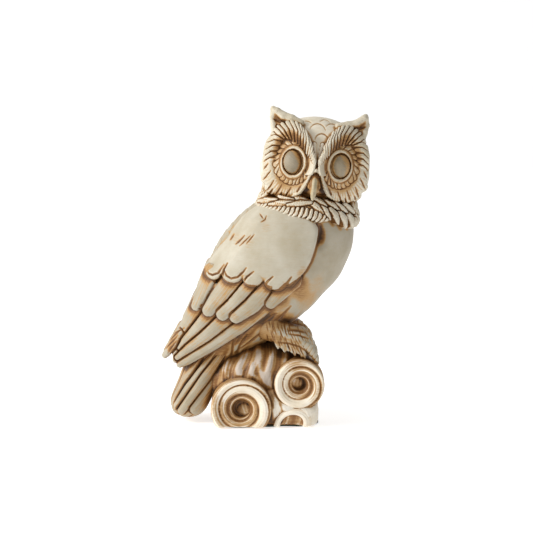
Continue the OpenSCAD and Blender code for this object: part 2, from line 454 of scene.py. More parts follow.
def ramp(x, a, b):
    """A smooth step from 0 at a to 1 at b."""
    t = np.clip((x - a) / (b - a), 0, 1)
    return t * t * (3 - 2 * t)


def hump(x, width):
    """A bell of height 1 at x = 0."""
    return np.exp(-((x / width) ** 2))


def shingles(s, t, width, depth, overlap=1.5):
    """Overlapping rounded scales, in staggered rows that step down t. 0 to 1, highest at each lower rim."""
    row = np.floor(t / depth)
    out = np.zeros(np.broadcast(s, t).shape)
    for k in (-1, 0, 1, 2):
        r = row + k
        shift = np.where(np.mod(r, 2) == 0, 0.0, 0.5)
        cx = (np.floor(s / width + shift) + 0.5 - shift) * width
        dx = (s - cx) / (width * 0.56)
        dt = (t - (r + 1) * depth) / (depth * overlap)
        inside = (dx * dx + dt * dt < 1) & (dt < 0.98)
        high = np.clip(0.25 - 0.75 * dt + 0.15 * (1 - dx * dx), 0, 1)
        out = np.where(inside, high, out)
    return out


# ---- the torso and the bed that the wings lie on ----
#
# Flat coordinates on the body are u forwards and v up, from the foot of the torso's middle. The lists of
# points are strokes and feathers laid out on those coordinates, or on the head's below.


def body_line():
    """The torso's stations, from its neck to the root of the tail."""
    x, z = TORSO[0], TORSO[2]
    half = high("torso")[1]
    rows = [
        (25.6, 123, 32, half - 10.5, 14),
        (20.6, 111, 45, half - 2.5, 20),
        (12.6, 94, 51.5, half, 22),
        (3.6, 75, 51.5, half, 22),
        (-9.9, 58, 45, half - 2.5, 20),
        (-23, 42, 37.4, half - 7.5, 18),
        (-35.4, 26, 30, 22, 15),
        (-46.4, 12, 18, 15, 12),
    ]
    return [([x + dx, 0, z + dz], [rx, ry, rz]) for dx, dz, rx, ry, rz in rows]


def wing_bed_line(side):
    """Below the torso's side, the folded wing's own mass down to its tip."""
    tip = low("wing_primaries_right")
    rows = [(46, 42, 27, 17, 22), (32, 24, 21, 13, 15), (16, 12, 12, 8.5, 9.5), (6, 6.5, 5, 5, 5.5)]
    depth = [14, 11, 7.5, 4.5]
    return [
        ([tip[0] + dx, -side * y, tip[2] + dz], [rx, ry, rz])
        for (dx, dz, rx, ry, rz), y in zip(rows, depth)
    ]


def bed(p):
    d = chain(p, body_line(), 8)
    for side in (RIGHT, LEFT):
        d = smin(d, chain(p, wing_bed_line(side), 4), 6)
    return d


ARMPIT = (39.5, 107)  # the hollow between the wing's shoulder and the breast


def torso_clay():
    c = Clay(low("torso") - 4, high("torso") + 4, 1.4)
    # The blend swells the chest, which is taken back above the thighs.
    swell = 2.0 * ramp(c.z, TORSO[2] + 46, TORSO[2] + 62)
    c.carve(chain(c.p, body_line(), 8) + swell)
    for side in (RIGHT, LEFT):
        c.cut_ball([TORSO[0] + ARMPIT[0], -side * 36, TORSO[2] + ARMPIT[1]], [5, 7, 10], 5)
    return c


def fur(co, strength, along, across):
    """Streaks of fur that run along a direction in the X-Z plane."""
    s = co[:, 0] * along[0] + co[:, 2] * along[1]
    t = co[:, 0] * -along[1] + co[:, 2] * along[0]
    wave = np.sin(t * across + 1.7 * np.sin(s * 0.13) + 0.8 * np.sin(s * 0.31 + co[:, 1] * 0.2))
    fade = 0.5 + 0.5 * np.sin(s * 0.21 + 2.1 * np.sin(t * 0.3))
    return strength * wave * fade


# Where the folded wing's front edge meets the breast.
FRONT_EDGE = [
    (39.5, 114), (38.6, 108), (37.6, 102), (35.4, 94.5), (32.8, 87), (29, 80), (23.6, 73.6), (18.2, 66),
    (9.8, 58.5), (-2, 48.6), (-15, 36.6), (-23.6, 29),
]
FLANK = [
    [(3.9, 37.6), (-10, 26.8), (-25.1, 14.8)], [(-11.1, 40.9), (-18.6, 32.2), (-25.1, 21.4)],
    [(-24, 30.1), (-26.7, 22.5), (-27.8, 13.7)], [(0, 33), (-5.7, 24.6)], [(12, 41), (2, 33.5), (-6, 28)],
    [(17, 52), (9, 43), (4, 38)], [(-16, 30), (-22, 20), (-24, 12)], [(6, 47), (-4, 39)],
]


# Soft stains on the breast and flank, and painted shade low on the breast's front at (38, 64): centre, radii,
# strength.
BREAST_STAINS_AND_SHADE = [
    ((-4, 42), (20, 11), 1.9), ((-19, 30), (15, 13), 1.7), ((24, 66), (10, 14), 0.9),
    ((13, 38), (14, 13), 1.4), ((40, 106), (4.5, 9), 1.2), ((10, 55), (10, 11), 0.6),
    ((29, 50), (12, 16), 0.5), ((-36, 17), (14, 14), 1.2), ((38, 64), (13, 24), 0.4),
]


def torso_work(co, no):
    u, v = wing_uv(co.T)
    r = Relief(u, v)
    side = ramp(np.abs(co[:, 1]), 6, 14)
    r.strokes(FLANK, 0.9, 1.0, 0.75)
    r.strokes([FRONT_EDGE], 1.1, 0.8, 0.3)
    # Wash and painted shade along the edges of the wing that lies over the torso.
    r.tucked(over_torso(u, v), 8, 0.55)
    r.ink *= 0.3 + 0.7 * np.maximum(ramp(v, 92, 102), ramp(-v, -62, -50))
    flank = ramp(v, 56, 36) * side
    r.h += flank * fur(co, 0.35, (0.66, 0.75), 1.0)
    for centre, radii, amount in BREAST_STAINS_AND_SHADE:
        r.stain_or_shade_patch(centre, radii, amount)
    r.within(side)
    # Rows of small feathers down the back and the belly.
    back = ramp(-no[:, 0] + 0.4 * no[:, 2], 0.2, 0.7) * ramp(np.abs(co[:, 1]), 34, 22)
    r.h += 0.9 * back * shingles(co[:, 1], -(v + 0.7 * u), 11, 9)
    belly = ramp(v, 56, 30) * ramp(np.abs(co[:, 1]), 14, 8)
    r.h += belly * 0.8 * shingles(co[:, 1], -v, 8, 8)
    return r


# ---- the wings ----


def wing_uv(p):
    """Wing coordinates: u forwards and v up, from the foot of the torso's middle."""
    return p[0] - TORSO[0], p[2] - TORSO[2]


COVERT_OUTLINE = [
    (-76, 84), (-50, 78), (-38, 77), (-20, 76), (-4, 74), (8, 70), (17, 69), (22, 74.4), (27.4, 80.8),
    (31.1, 87.3), (33.7, 94.8), (35.8, 102.3), (36.8, 108.7), (37, 112), (35, 116), (30, 120), (14, 127),
    (0, 132), (-9, 137), (-30, 150), (-76, 150),
]
# The lobes of the coverts' hem. A feather is its path and its half widths along it.
SCALLOPS = [
    ([(-41.2, 84), (-41.6, 78.6)], [6.2, 6.4]),
    ([(-26.5, 86), (-26.8, 78.6)], [7.6, 8.2]),
    ([(-10, 86), (-11.4, 77)], [8, 8.4]),
    ([(9, 86), (5.4, 75.2)], [8.6, 9.2]),
]
SCALLOP_LINES = [
    [(-46.3, 79.2), (-45, 77.1), (-42, 76.3), (-37.7, 78.1), (-33.4, 84.6)],
    [(-32.9, 79.8), (-31.3, 76.5), (-27.6, 74.7), (-22.8, 76), (-18.5, 80.3), (-16.5, 83)],
    [(-30.8, 86), (-33.5, 80.8), (-35, 75.5)],
    [(-11, 80.5), (-15.9, 76.5), (-19.4, 71.8)],
    [(3.3, 77), (-0.9, 72.8), (-2.8, 69.6)],
    [(-42.6, 89), (-46.3, 82.4), (-47.9, 77.6)],
    [(-45.2, 90), (-48.9, 84.1), (-50, 79.2)],
    [(9, 68), (14, 72), (17, 76.5)],
]
# Short nicks in the smooth shoulder.
NICKS = [
    [(-6.6, 122.5), (-4.1, 119.5)], [(-5.6, 117), (-2.6, 119), (-1.6, 121.6)],
    [(-21.9, 99.2), (-13.3, 107.4)], [(-16.4, 101.2), (-10.6, 108)], [(-22.9, 101.4), (-18.1, 107)],
    [(-29.3, 101.9), (-26.3, 106.4)], [(-28.8, 108.3), (-25.7, 113.4)], [(-31, 108.3), (-27.8, 112.9)],
    [(-24.8, 100), (-21.5, 103.5)], [(-48, 96), (-44.5, 101.5)], [(-45, 95), (-42, 100)],
    [(-51, 90), (-48, 96)],
]
SECONDARIES = [
    ([(-43, 78), (-50, 62), (-54.5, 52)], [6, 5.4, 3.6]),
    ([(-22, 80), (-29.9, 69.5), (-38.2, 58.6), (-44.9, 49.7)], [7, 7.2, 6.4, 4.9]),
    ([(-8, 76), (-17.2, 65), (-26, 54.5), (-34.3, 47.4)], [6, 5.8, 5.6, 4.9]),
    ([(6, 76), (-4, 64.5), (-12, 55.3), (-24.3, 45.5)], [6.5, 6.4, 6.4, 4.9]),
    ([(17, 74), (7, 63), (1.8, 56.8)], [7.5, 6, 4.6]),
]
PRIMARIES = [
    ([(-56, 38), (-68, 18), (-70, 9.5)], [6, 5.5, 3.4]),
    ([(-42, 72), (-53, 53), (-62.5, 36), (-67, 27)], [7, 6, 4.6, 3]),
    ([(-66.5, 31), (-71, 22), (-79.2, 11.4)], [3.4, 4.2, 1.9]),
    ([(-40, 52), (-54.3, 34.5), (-63, 24.4), (-67, 19)], [5.5, 4.4, 3.4, 2.2]),
    ([(-28, 47), (-48, 29), (-60, 19.3), (-69, 11.5)], [6.5, 5.1, 4, 2.6]),
    (
        [(12, 70), (2, 60), (-8, 50.5), (-20.8, 38.6), (-41.7, 23), (-62, 9.5), (-67.6, 5.9)],
        [6, 7, 6.5, 5.4, 4.2, 3.6, 2.8],
    ),
]
# Splits in the wing's ragged tip.
RAGS = [
    [(-65.5, 32), (-74, 22.5)], [(-67, 28), (-76.5, 16.5)], [(-67.8, 24.5), (-75.5, 14)],
    [(-68.5, 21), (-73.5, 12.5)], [(-66, 25), (-71, 16)], [(-62, 35), (-71.5, 27.5)],
]
# The upper back's outline, seen from the right: v and the u of the outline there.
BACK = [
    (72, -51.5), (78, -49.5), (84, -47.3), (90, -42.8), (96, -38.3), (102, -33), (108, -29.2), (118, -22),
    (124, -14.5), (132, -4),
]


def covert_edge(u, v):
    return np.minimum(polygon(u, v, COVERT_OUTLINE), bands(u, v, SCALLOPS))


def wing_block(node, voxel):
    """A block round the right wing's node."""
    lo, hi = low("wing_" + node + "_right"), high("wing_" + node + "_right")
    return Clay(lo - [7, 5, 7], hi + [7, 8, 7], voxel)


def coverts_clay():
    c = wing_block("coverts", 1.0)
    u, v = wing_uv(c.p)
    thick = 5.2 + 2.2 * ramp(v, 62, 92) - 4.2 * ramp(v, 108, 130)
    # It thins out towards the back.
    inwards = u - np.interp(v, *zip(*BACK))
    thick = 0.8 + (thick - 0.8) * (1 - ramp(v, 76, 86) * ramp(-inwards, -17, -1))
    d = smax(bed(c.p) - thick, covert_edge(u, v), 2.2)
    d = smax(d, 0.4 - inwards - 20 * ramp(-v, -80, -72), 6)
    return c.carve(smax(d, c.y + 6, 4))


def coverts_work(co, no):
    u, v = wing_uv(co.T)
    r = Relief(u, v)
    edge = covert_edge(u, v)
    r.strokes(SCALLOP_LINES, 0.75, 1.5)
    r.strokes(NICKS, 0.5, 0.7, 0.9)
    r.h += 0.9 * ramp(-v, -92, -80) * np.sqrt(np.clip(-edge / 5, 0, 1)) - 0.5
    r.h += 0.025 * np.sin(v * 3.1 + u * 0.3) * np.sin(u * 0.21 + 2 * np.sin(v * 0.17))
    for centre in ((-2, 113), (-15, 101), (-25, 106), (24, 82)):
        r.stain_or_shade_patch(centre, (7, 8), 0.3)
    r.wash_and_shade += 0.55 * hump(edge + 1.0, 2.2) * ramp(-v, -90, -80)
    return r.within(ramp(-no[:, 1], 0.05, 0.4))


def layer_clay(name, feathers, thick, inner):
    c = wing_block(name, 0.9)
    u, v = wing_uv(c.p)
    d = smax(bed(c.p) - thick, bands(u, v, feathers), 1.0)
    return c.carve(smax(d, c.y + inner, 3))


def layer_work(feathers, crown, over, extra=()):
    def work(co, no):
        u, v = wing_uv(co.T)
        r = Relief(u, v)
        r.plumes(feathers, crown, 0.1, 0.6, 1.1, 0.1, lean=0.3)
        r.strokes(extra, 0.6, 0.6)
        r.wash_and_shade += 0.3
        # Patches of painted shade along each feather's lower right, away from the light, and a stain at its
        # tip.
        for path, _ in feathers:
            for (u0, v0), (u1, v1) in zip(path, path[1:]):
                r.stain_or_shade_patch(((u0 + u1) / 2 + 3.5, (v0 + v1) / 2 - 3), (4, 7), 0.22)
            r.stain_or_shade_patch(path[-1], (4, 4), 0.3)
        # Wash and painted shade under the layer above.
        r.tucked(over(u, v))
        return r.within(ramp(-no[:, 1], 0.0, 0.35))

    return work


def over_primaries(u, v):
    return np.minimum(covert_edge(u, v), bands(u, v, SECONDARIES))


def over_torso(u, v):
    return np.minimum(over_primaries(u, v), bands(u, v, PRIMARIES))


def flipped(o):
    """A mirror image of a right-hand piece, for the bird's left."""
    me = o.data.copy()
    co = coords(me)
    co[:, 1] *= -1
    put(me, co)
    me.flip_normals()
    return me


def mirror_piece(node, source):
    o, web, relief = next(m for m in made if m[0]["node"] == source)
    me = flipped(o)
    me.name = node
    copy = bpy.data.objects.new("visual_" + node, me)
    bpy.context.scene.collection.objects.link(copy)
    copy["node"] = node
    made.append((copy, web, relief))


# ---- the tail ----


def tail_line():
    x, y, z = TAIL
    rows = [
        (33.6, 0, 54, 15, 17, 14),
        (24.6, 0, 36, 14.5, 18, 12),
        (18.6, -1, 22, 13.8, 17, 11),
        (13, -3, 10.6, 13.2, 15, 10.2),
    ]
    return [([x + dx, y + dy, z + dz], [rx, ry, rz]) for dx, dy, dz, rx, ry, rz in rows]


def tail_clay():
    c = Clay(low("tail") - [4, 5, 1], high("tail") + [4, 5, 8], 1.2)
    return c.carve(smax(chain(c.p, tail_line(), 5), FLOOR_Z + 0.4 - c.z, 0.5))


VANES = [
    ([(-16, 24), (-31, 0), (-43, -24)], [3, 3.4, 3.4]),
    ([(-46, 22), (-60, 0), (-72.6, -21)], [3, 3.4, 3.2]),
    ([(-38.6, 18), (-60, -12), (-69.8, -27)], [3.4, 3.8, 3.2]),
    ([(-29, 23), (-48, -4), (-66.4, -30)], [3.6, 4.4, 3.4]),
    ([(-23, 22), (-41, -8), (-56.4, -28.5)], [3.2, 4.4, 4.4]),
]


def tail_work(co, no):
    """Long rounded vanes that run down the tail and close over its end."""
    x, z = co[:, 0] - TAIL[0], co[:, 2] - TAIL[2]
    u, v = wing_uv(co.T)
    r = Relief(u, v)
    r.plumes(VANES, 2.4, 0.1, 0.65, 0.9, 0.12, lean=0.25)
    side = ramp(np.abs(no[:, 1]), 0.45, 0.75)
    r.within(side)
    lean = (x - 13 - 0.49 * (z - 10.6)) / 14
    turn = np.arctan2(co[:, 1] - TAIL[1], lean * 16)
    vane = np.abs(np.sin(turn * 3.5 + 0.5))
    r.h += (1 - side) * 1.6 * (vane ** 0.55 - 0.75) * ramp(z, -1, 6)
    r.ink = np.maximum(r.ink, (1 - side) * hump(vane, 0.16))
    r.stain_or_shade_patch((-40, 5), (22, 16), 0.35)
    r.stain_or_shade_patch((-30, 17), (12, 13), 1.0)
    # Wash and painted shade under the primaries.
    r.tucked(bands(u, v, PRIMARIES), 9, 0.6)
    r.wash_and_shade += 0.34
    return r


# ---- the head ----

COS, SIN = math.cos(ROLL), math.sin(ROLL)
SKULL = [((0, 0, 1), (39.5, 36, 33)), ((0, -2, -9), (41.5, 33, 22))]
# How far the brow's crest stands from the middle of the eye, by the angle round it in degrees.
CREST = [
    (-14, 20.5), (8, 21.5), (34, 23.7), (48, 25.7), (59, 27.6), (70, 29.2), (81, 30), (91, 29), (103, 26),
    (119, 21.5), (145, 16.8), (172, 17), (196, 17),
]
TALL = 1.26  # the eye's opening is taller than it is wide
OPENING = 7.7  # half the width of that opening
RING = 9.9  # the outer edge of the smooth ring round the eye
SOCKET = 10.5  # where the brow starts
DISC_OUTLINE = [
    (0.8, 1), (1.6, -2.2), (4.4, -6), (6.8, -13), (10.7, -20.6), (15.7, -25.6), (21, -25.6), (30, -24.6),
    (36, -19), (39.6, -10), (40.5, -2), (40, 8), (38.5, 14), (30, 20), (15, 22), (6, 12),
]
# The lobes of the cheek's hem, and the cuts between them.
LOBES = [
    ([(16, -16), (18, -23.2)], [5, 4.2]), ([(23, -15), (25.4, -23.7)], [5.6, 4.9]),
    ([(29, -14), (32, -22.2)], [5.6, 4.7]), ([(32, -8), (36.2, -15)], [5, 4.4]),
]
# The raised lip that runs from over the beak down along the disc's edge.
LIP = (
    [(-0.4, -4.0), (2.2, -4.9), (4.3, -7.4), (5.8, -12), (8, -17), (11, -22), (15.5, -25.6)],
    [1.9, 1.8, 1.7, 1.7, 1.8, 1.7, 0.9],
)
NOTCHES = [
    [(17.5, -19), (21.6, -28)], [(24.5, -18), (28.8, -27.4)], [(30.5, -15), (34.8, -24)],
    [(33.5, -8), (38.6, -16)], [(23.6, -24), (25, -28.4)], [(31, -22), (32.4, -26.6)],
    [(36, -3), (39.5, -8.5)], [(35.5, 3), (39, -2)], [(10.5, -17), (14.5, -25.6)],
]


def face(p):
    """Head coordinates: u across the face, w into the head and v up, from midway between the eyes."""
    x, y, z = (p[i] - HEAD[i] for i in range(3))
    return x * COS - z * SIN, y, x * SIN + z * COS


def on_head(u, w, v):
    """The place of a point given in head coordinates."""
    return np.array([HEAD[0] + u * COS + v * SIN, HEAD[1] + w, HEAD[2] - u * SIN + v * COS])


def skull(q):
    return smin(ball(q, *SKULL[0]), ball(q, *SKULL[1]), 4)


def polar(a, v, tall=1.0):
    """Distance and angle in degrees round the middle of the eye, from -90 to 270."""
    angle = np.degrees(np.arctan2(v / tall, a - EYE_U))
    return np.hypot(a - EYE_U, v / tall), np.where(angle < -90, angle + 360, angle)


def spoke(angle, r, tall=1.0):
    """The point at that angle and distance from the middle of the eye."""
    turn = math.radians(angle)
    return (EYE_U + r * math.cos(turn), r * tall * math.sin(turn))


def head_block(node, voxel, pad=4):
    return Clay(low(node) - pad, high(node) + pad, voxel)


def sided(name, side):
    return name + ("_right" if side == RIGHT else "_left")


def head_clay():
    c = head_block("head", 1.2)
    u, w, v = face(c.p)
    d = skull((u, w, v))
    for pit in PITS:
        d = smax(d, -ball((u, w, v), (pit, -35, -17.5), (4.6, 6, 6)), 2)
    return c.carve(d)


# Scale-like arcs drawn on the crown, and the small feathers that run down between the brows.
CROWN_ARCS = [
    arc((-1.2, 23.4), 6.1, 165, 18), arc((9.4, 24.5), 5.6, 142, 28), arc((2.2, 17.4), 5.1, 172, 14),
    arc((-9.5, 25.2), 5.4, 118, 50), arc((4.0, 27.6), 5.0, 140, 40),
]
BRIDGE = [
    ([(-5.6, 13), (-3.4, 7), (-2, 1)], [1.5, 1.2, 0.7]),
    ([(5.6, 13), (3.6, 7), (2.2, 1)], [1.5, 1.2, 0.7]),
    ([(-2.9, 14.5), (-1.9, 8.5), (-1, 2)], [1.4, 1.1, 0.7]),
    ([(3.1, 14.5), (2, 8.5), (1.1, 2)], [1.4, 1.1, 0.7]),
]
PITS = (-6.5, 6.5)  # the dark pits either side of the beak, by u


def head_work(co, no):
    u, w, v = face(co.T)
    r = Relief(u, v)
    r.strokes(CROWN_ARCS, 0.5, 0.55, 0.8)
    r.plumes(BRIDGE, 0.7, 0.1, 0.4, 0.3)
    r.ink *= 0.4 - 0.2 * ramp(-v, -17, -13)
    for pit in PITS:
        r.stain_or_shade_patch((pit, -18), (5, 8), 3.0)
    r.stain_or_shade_patch((0, 22), (12, 13), 0.25)
    r.stain_or_shade_patch((0, 8), (7, 10), -1.3)
    r.within(ramp(-no[:, 1], 0.0, 0.35))
    # Feathers over the crown and the nape.
    turn = np.arctan2(u, w) * 34
    scaled = ramp(w, -12, 0) * ramp(np.hypot(u, w), 13, 24)
    r.h += 0.9 * scaled * (shingles(turn, -v, 9, 7.5) - 0.3)
    return r


def disc_edge(a, v):
    return np.minimum(polygon(a, v, DISC_OUTLINE), bands(a, v, LOBES + [LIP]))


def lip_rise(a, v):
    """0 off the lip to 1 along its crest."""
    edge, _ = band(a, v, *LIP)
    return np.sqrt(np.clip(-edge / 1.9, 0, 1))


def disc_clay(side):
    c = head_block(sided("face_disc", side), 0.7, 5)
    u, w, v = face(c.p)
    a = -side * u
    q = skull((u, w, v))
    r, _ = polar(a, v, TALL)
    # It stands 2.4 mm off the skull, more at its rim, round the eye and along the lip.
    t = 2.4 + 2.8 * ramp(r, 12, 19) + 1.4 * ramp(-r, -RING - 0.6, -RING + 0.8)
    t = t - 0.7 * ramp(-r, -9.2, -OPENING) + 2.4 * lip_rise(a, v)
    t = np.where(r < OPENING, t - 4.5 * ramp(-r, -OPENING, 0.7 - OPENING), t)
    d = smax(q - t, disc_edge(a, v), 1.6)
    d = smax(d, w + 8, 4)
    return c.carve(smax(d, -(q + 5), 1))


def petals():
    """Small scale-like feathers that overlap round the eye's ring."""
    out = []
    for count, start, end, reach, thick in ((6, 72, -20, 5.0, 2.9), (9, -148, -32, 4.2, 2.7)):
        for i in range(count):
            angle = start + i * (end - start) / (count - 1)
            lean = 10 if angle < -80 else -10
            tip = spoke(angle + lean, RING + reach - thick * 0.8, TALL)
            out.append(([spoke(angle, RING - 1.5, TALL), tip], [thick, thick * 0.85]))
    return out


def disc_work(side):
    def work(co, no):
        u, _, v = face(co.T)
        a = -side * u
        r = Relief(a, v)
        edge = disc_edge(a, v)
        r.strokes(NOTCHES, 0.55, 1.0, 0.65)
        outside, angle = polar(a, v, TALL)
        cheek = ramp(outside, 15, 19) * ramp(-v, 4, 10)
        r.h += 0.12 * cheek * np.sin(np.radians(angle) * 62)
        ring = Relief(a, v)
        ring.plumes(petals(), 0.7, 0.0, 0.38, 0.45, 0.04)
        # The petals' roots run together; only their tips are outlined.
        keep = ramp(outside, RING, RING + 0.6)
        tips = 0.15 + 0.85 * ramp(outside, RING + 1.2, RING + 3.2)
        r.h, r.ink = r.h + ring.h * keep, np.maximum(r.ink, 0.45 * ring.ink * keep * tips)
        # The ring's rim, and the dark slit between it and the ball of the eye.
        r.ink = np.maximum(r.ink, 0.45 * hump(outside - RING - 0.1, 0.4))
        r.ink = np.where(outside < OPENING, np.maximum(r.ink, ramp(-outside, -OPENING, 0.5 - OPENING)), r.ink)
        r.h -= 0.25 * hump(outside - OPENING - 1.4, 0.35) * ramp(angle, -40, 30)
        crest = lip_rise(a, v)
        r.h, r.ink = r.h * (1 - crest), r.ink * (1 - crest)
        r.h += 0.12 * crest * np.sin(v * 3.1 + a)
        r.wash_and_shade += 0.9 * hump(edge + 4.6, 1.2) * ramp(-a, -15, -9) * ramp(-v, 3, 6) - 0.5 * crest
        r.wash_and_shade += 0.25 * hump(outside - RING - 3, 2.4) + 0.22 * cheek
        r.wash_and_shade += 0.1 * ramp(-outside, -RING - 0.5, -RING + 0.5)
        r.stain_or_shade_patch((30, 10), (12, 12), 0.5)
        r.stain_or_shade_patch((22, -16), (14, 12), 0.3)
        r.wash_and_shade -= 0.8 * hump(edge, 1.6) * cheek
        r.stain_or_shade_patch((5.5, -2), (4, 5), 0.8)
        r.wash_and_shade += 0.25 * (1 - cheek)
        return r.within(ramp(-no[:, 1], -0.2, 0.3))

    return work


# Long strands that are combed over the brow's crest and down towards the beak, as offsets from the eye.
TRESSES = [
    [(16.6, 23.4), (12.3, 20.2), (7.9, 17.0)], [(13.7, 25), (9.4, 21.4), (5.0, 17.0)],
    [(10, 26.6), (5.8, 22), (2.8, 17.0)], [(6.5, 28.4), (2.6, 22.6), (0.4, 15.5)],
    [(3.4, 29), (-0.3, 22.5), (-2, 14.4)], [(0.4, 29), (-2.7, 22.2), (-4, 12.9)],
    [(-2.3, 28), (-5.2, 19.5), (-6.5, 11)], [(-4.3, 26), (-7.4, 18.2), (-8.1, 9)],
    [(-6.7, 24.5), (-9.9, 15.2), (-9.9, 7.2)], [(-9.3, 23), (-12.9, 13.8), (-12.2, 4.6)],
    [(-11.6, 20), (-15, 11.5), (-14, 1.6)], [(-14.3, 16), (-16.8, 7.5), (-16, -0.6)],
]
# Broad feathers on the brow's outer side, each over the one below it.
LEAVES = [
    ([(14, 1), (18.6, -1), (21.6, -6.5)], [2.2, 2.3, 1.1]),
    ([(13.5, 5), (18.6, 3.8), (21.8, -1.8)], [2.3, 2.4, 1.1]),
    ([(12.8, 9.2), (17.8, 8.6), (21.6, 3.2)], [2.4, 2.5, 1.2]),
    ([(11.4, 13.2), (17, 13), (21.2, 8)], [2.5, 2.6, 1.3]),
    ([(9.4, 16.8), (15.4, 17.4), (20.3, 13.4)], [2.4, 2.7, 1.5]),
    ([(8.4, 18.6), (14.6, 21), (18.6, 18.6)], [1.8, 2.4, 1.8]),
]


DOUBLED = 8  # from this strand on, there is one more between each two


def brow_feathers():
    """The leaves, then the strands, the first of them on top."""
    out = [([(EYE_U + x, y) for x, y in path], widths) for path, widths in LEAVES]
    fine = []
    for i in range(2 * len(TRESSES) - 1):
        if i < 2 * DOUBLED and i % 2:
            continue
        pair = TRESSES[i // 2], TRESSES[(i + 1) // 2]
        path = [tuple((m + n) / 2 for m, n in zip(*ends)) for ends in zip(*pair)]
        thick = 2.0 - 0.7 * ramp(i, 8, 15) - 0.2 * ramp(i, 15, 18)
        fine.append(([(EYE_U + x, y) for x, y in path], [thick * 0.9, thick, thick * 0.55]))
    return out + fine[::-1]


def brow_edge(a, v):
    plain, angle = polar(a, v)
    squashed, _ = polar(a, v, TALL)
    crest = np.interp(angle, *zip(*CREST))
    return np.maximum(SOCKET - squashed, plain - crest)


def brow_clay(side):
    c = head_block(sided("brow", side), 0.7, 5)
    u, w, v = face(c.p)
    a = -side * u
    plain, angle = polar(a, v)
    crest = np.interp(angle, *zip(*CREST))
    rise = ramp((plain - SOCKET) / (crest - SOCKET), 0, 0.85)
    swell = (1.6 + 5.6 * rise) * (0.45 + 0.55 * ramp(angle, -16, 20))
    d = smax(skull((u, w, v)) - swell, brow_edge(a, v), 2.0)
    d = smax(d, 0.4 - a, 1.0)
    d = smax(d, -14 - (v + 0.4 * a), 2)
    return c.carve(smax(d, w + 10, 4))


def brow_work(side):
    def work(co, no):
        u, _, v = face(co.T)
        a = -side * u
        r = Relief(a, v)
        r.plumes(brow_feathers(), 1.5, 0.0, 0.42, 0.7, 0.12)
        plain, angle = polar(a, v)
        crest = np.interp(angle, *zip(*CREST))
        inner = ramp(angle, 60, 110)
        # The crest is wiped nearly clean, and the slope under it, which faces down away from the light, is
        # darkened as painted shade.
        bald = hump(plain - crest + 1.5, 2.6) * (0.35 + 0.65 * inner)
        r.h, r.ink = r.h * (1 - 0.35 * bald), r.ink * (0.8 - 0.6 * bald)
        merged = ramp(-a, -7, -2) * ramp(-v, -14, -6)
        r.h, r.ink = r.h * (1 - 0.5 * merged), r.ink * (1 - 0.6 * merged)
        r.wash_and_shade += 1.5 * ramp(crest - plain, 3, 10) * (1 - 0.45 * ramp(angle, 120, 170)) - 0.5 * bald
        r.stain_or_shade_patch((14, 13), (15, 7), 0.5)
        r.stain_or_shade_patch((30, 10), (8, 12), 0.35)
        return r.within(ramp(-no[:, 1], -0.3, 0.2))

    return work


# The thin leaf that fills the ear.
EAR_LEAF = [(15, 24), (15, 29), (22, 32), (30, 35), (36, 38), (36.4, 32), (33, 20)]


def ear_clay(side):
    c = head_block(sided("ear_tuft", side), 0.65, 5)
    at = lambda a, w, v: on_head(-side * a, w, v)
    wide = 0 if side == RIGHT else 1.5  # the left ear is a little lower and blunter
    tip = (35.6 - wide, -13, 37.6, 1.8)
    # The rolled upper rim and the outer edge: u outwards, w, v and radius.
    rim = [
        (14, -20, 28.6, 2.6), (21, -18, 31.4 - wide, 3.0), (27, -16, 32.8 - wide, 3.1),
        (32.4 + 0.4 * wide, -14.5, 36, 2.6), tip,
    ]
    outer = [tip, (36, -14, 31, 1.6), (34.6, -16.5, 25, 1.9), (33, -19, 20.5, 2.4)]
    for line in (rim, outer):
        for p, q in zip(line, line[1:]):
            c.add_rod(at(*p[:3]), at(*q[:3]), p[3], q[3], 1.0)
    u, w, v = face(c.p)
    a = -side * u
    leaf = polygon(a, v + 0.7 * wide, EAR_LEAF)
    plate = smax(np.abs(w + 12.5 + 0.12 * (v - 26)) - 2.6, leaf, 1.5)
    c.d = smin(c.d, plate.astype(np.float32), 1.4)
    c.add_ball(at(24, -10, 26), (11, 8, 6.5), 3)
    return c


def ear_work(side):
    ridges = [[(17, 28), (26, 30), (33.5, 35)], [(24, 25), (29, 26), (34, 27)]]

    def work(co, no):
        u, _, v = face(co.T)
        r = Relief(-side * u, v)
        r.strokes(ridges, 2.0, -1.3, 0.0)
        r.strokes([[(35, 30), (30, 28.2), (22, 27.6)]], 0.6, 0.6, 0.5)
        r.wash_and_shade += 1.1 * ramp(-polygon(r.u, v, EAR_LEAF), 0.8, 3.5)
        r.within(ramp(-no[:, 1], 0.1, 0.5))
        r.h += 0.3 * ramp(no[:, 1], 0.0, 0.5) * np.sin((r.u + v) * 1.2)
        return r

    return work


def eye_clay(side):
    c = head_block(sided("eye", side), 0.7, 3)
    c.add_ball(on_head(-side * EYE_U, SKULL[0][0][1] - 31.5, 0), (7.3, 7.4, 9.0), 0.5)
    return c


def eye_work(co, no):
    """Brush marks across the ball, a dark outline round its edge, and painted shade over its right side and
    its top.
    """
    r = Relief(co[:, 0], co[:, 2])
    r.h = 0.06 * np.sin(co[:, 0] * 2.1 + co[:, 2] * 3.4 + np.sin(co[:, 2] * 1.3))
    r.ink = 0.85 * ramp(1 - np.abs(no[:, 1]), 0.64, 0.84)
    # Painted shade: darker where the ball turns to the right and upwards, under the brow.
    r.wash_and_shade = 0.05 + 0.95 * ramp(0.8 * no[:, 0] + 0.3 * no[:, 2] + 0.35 * np.abs(no[:, 2]), 0.12, 0.75)
    return r


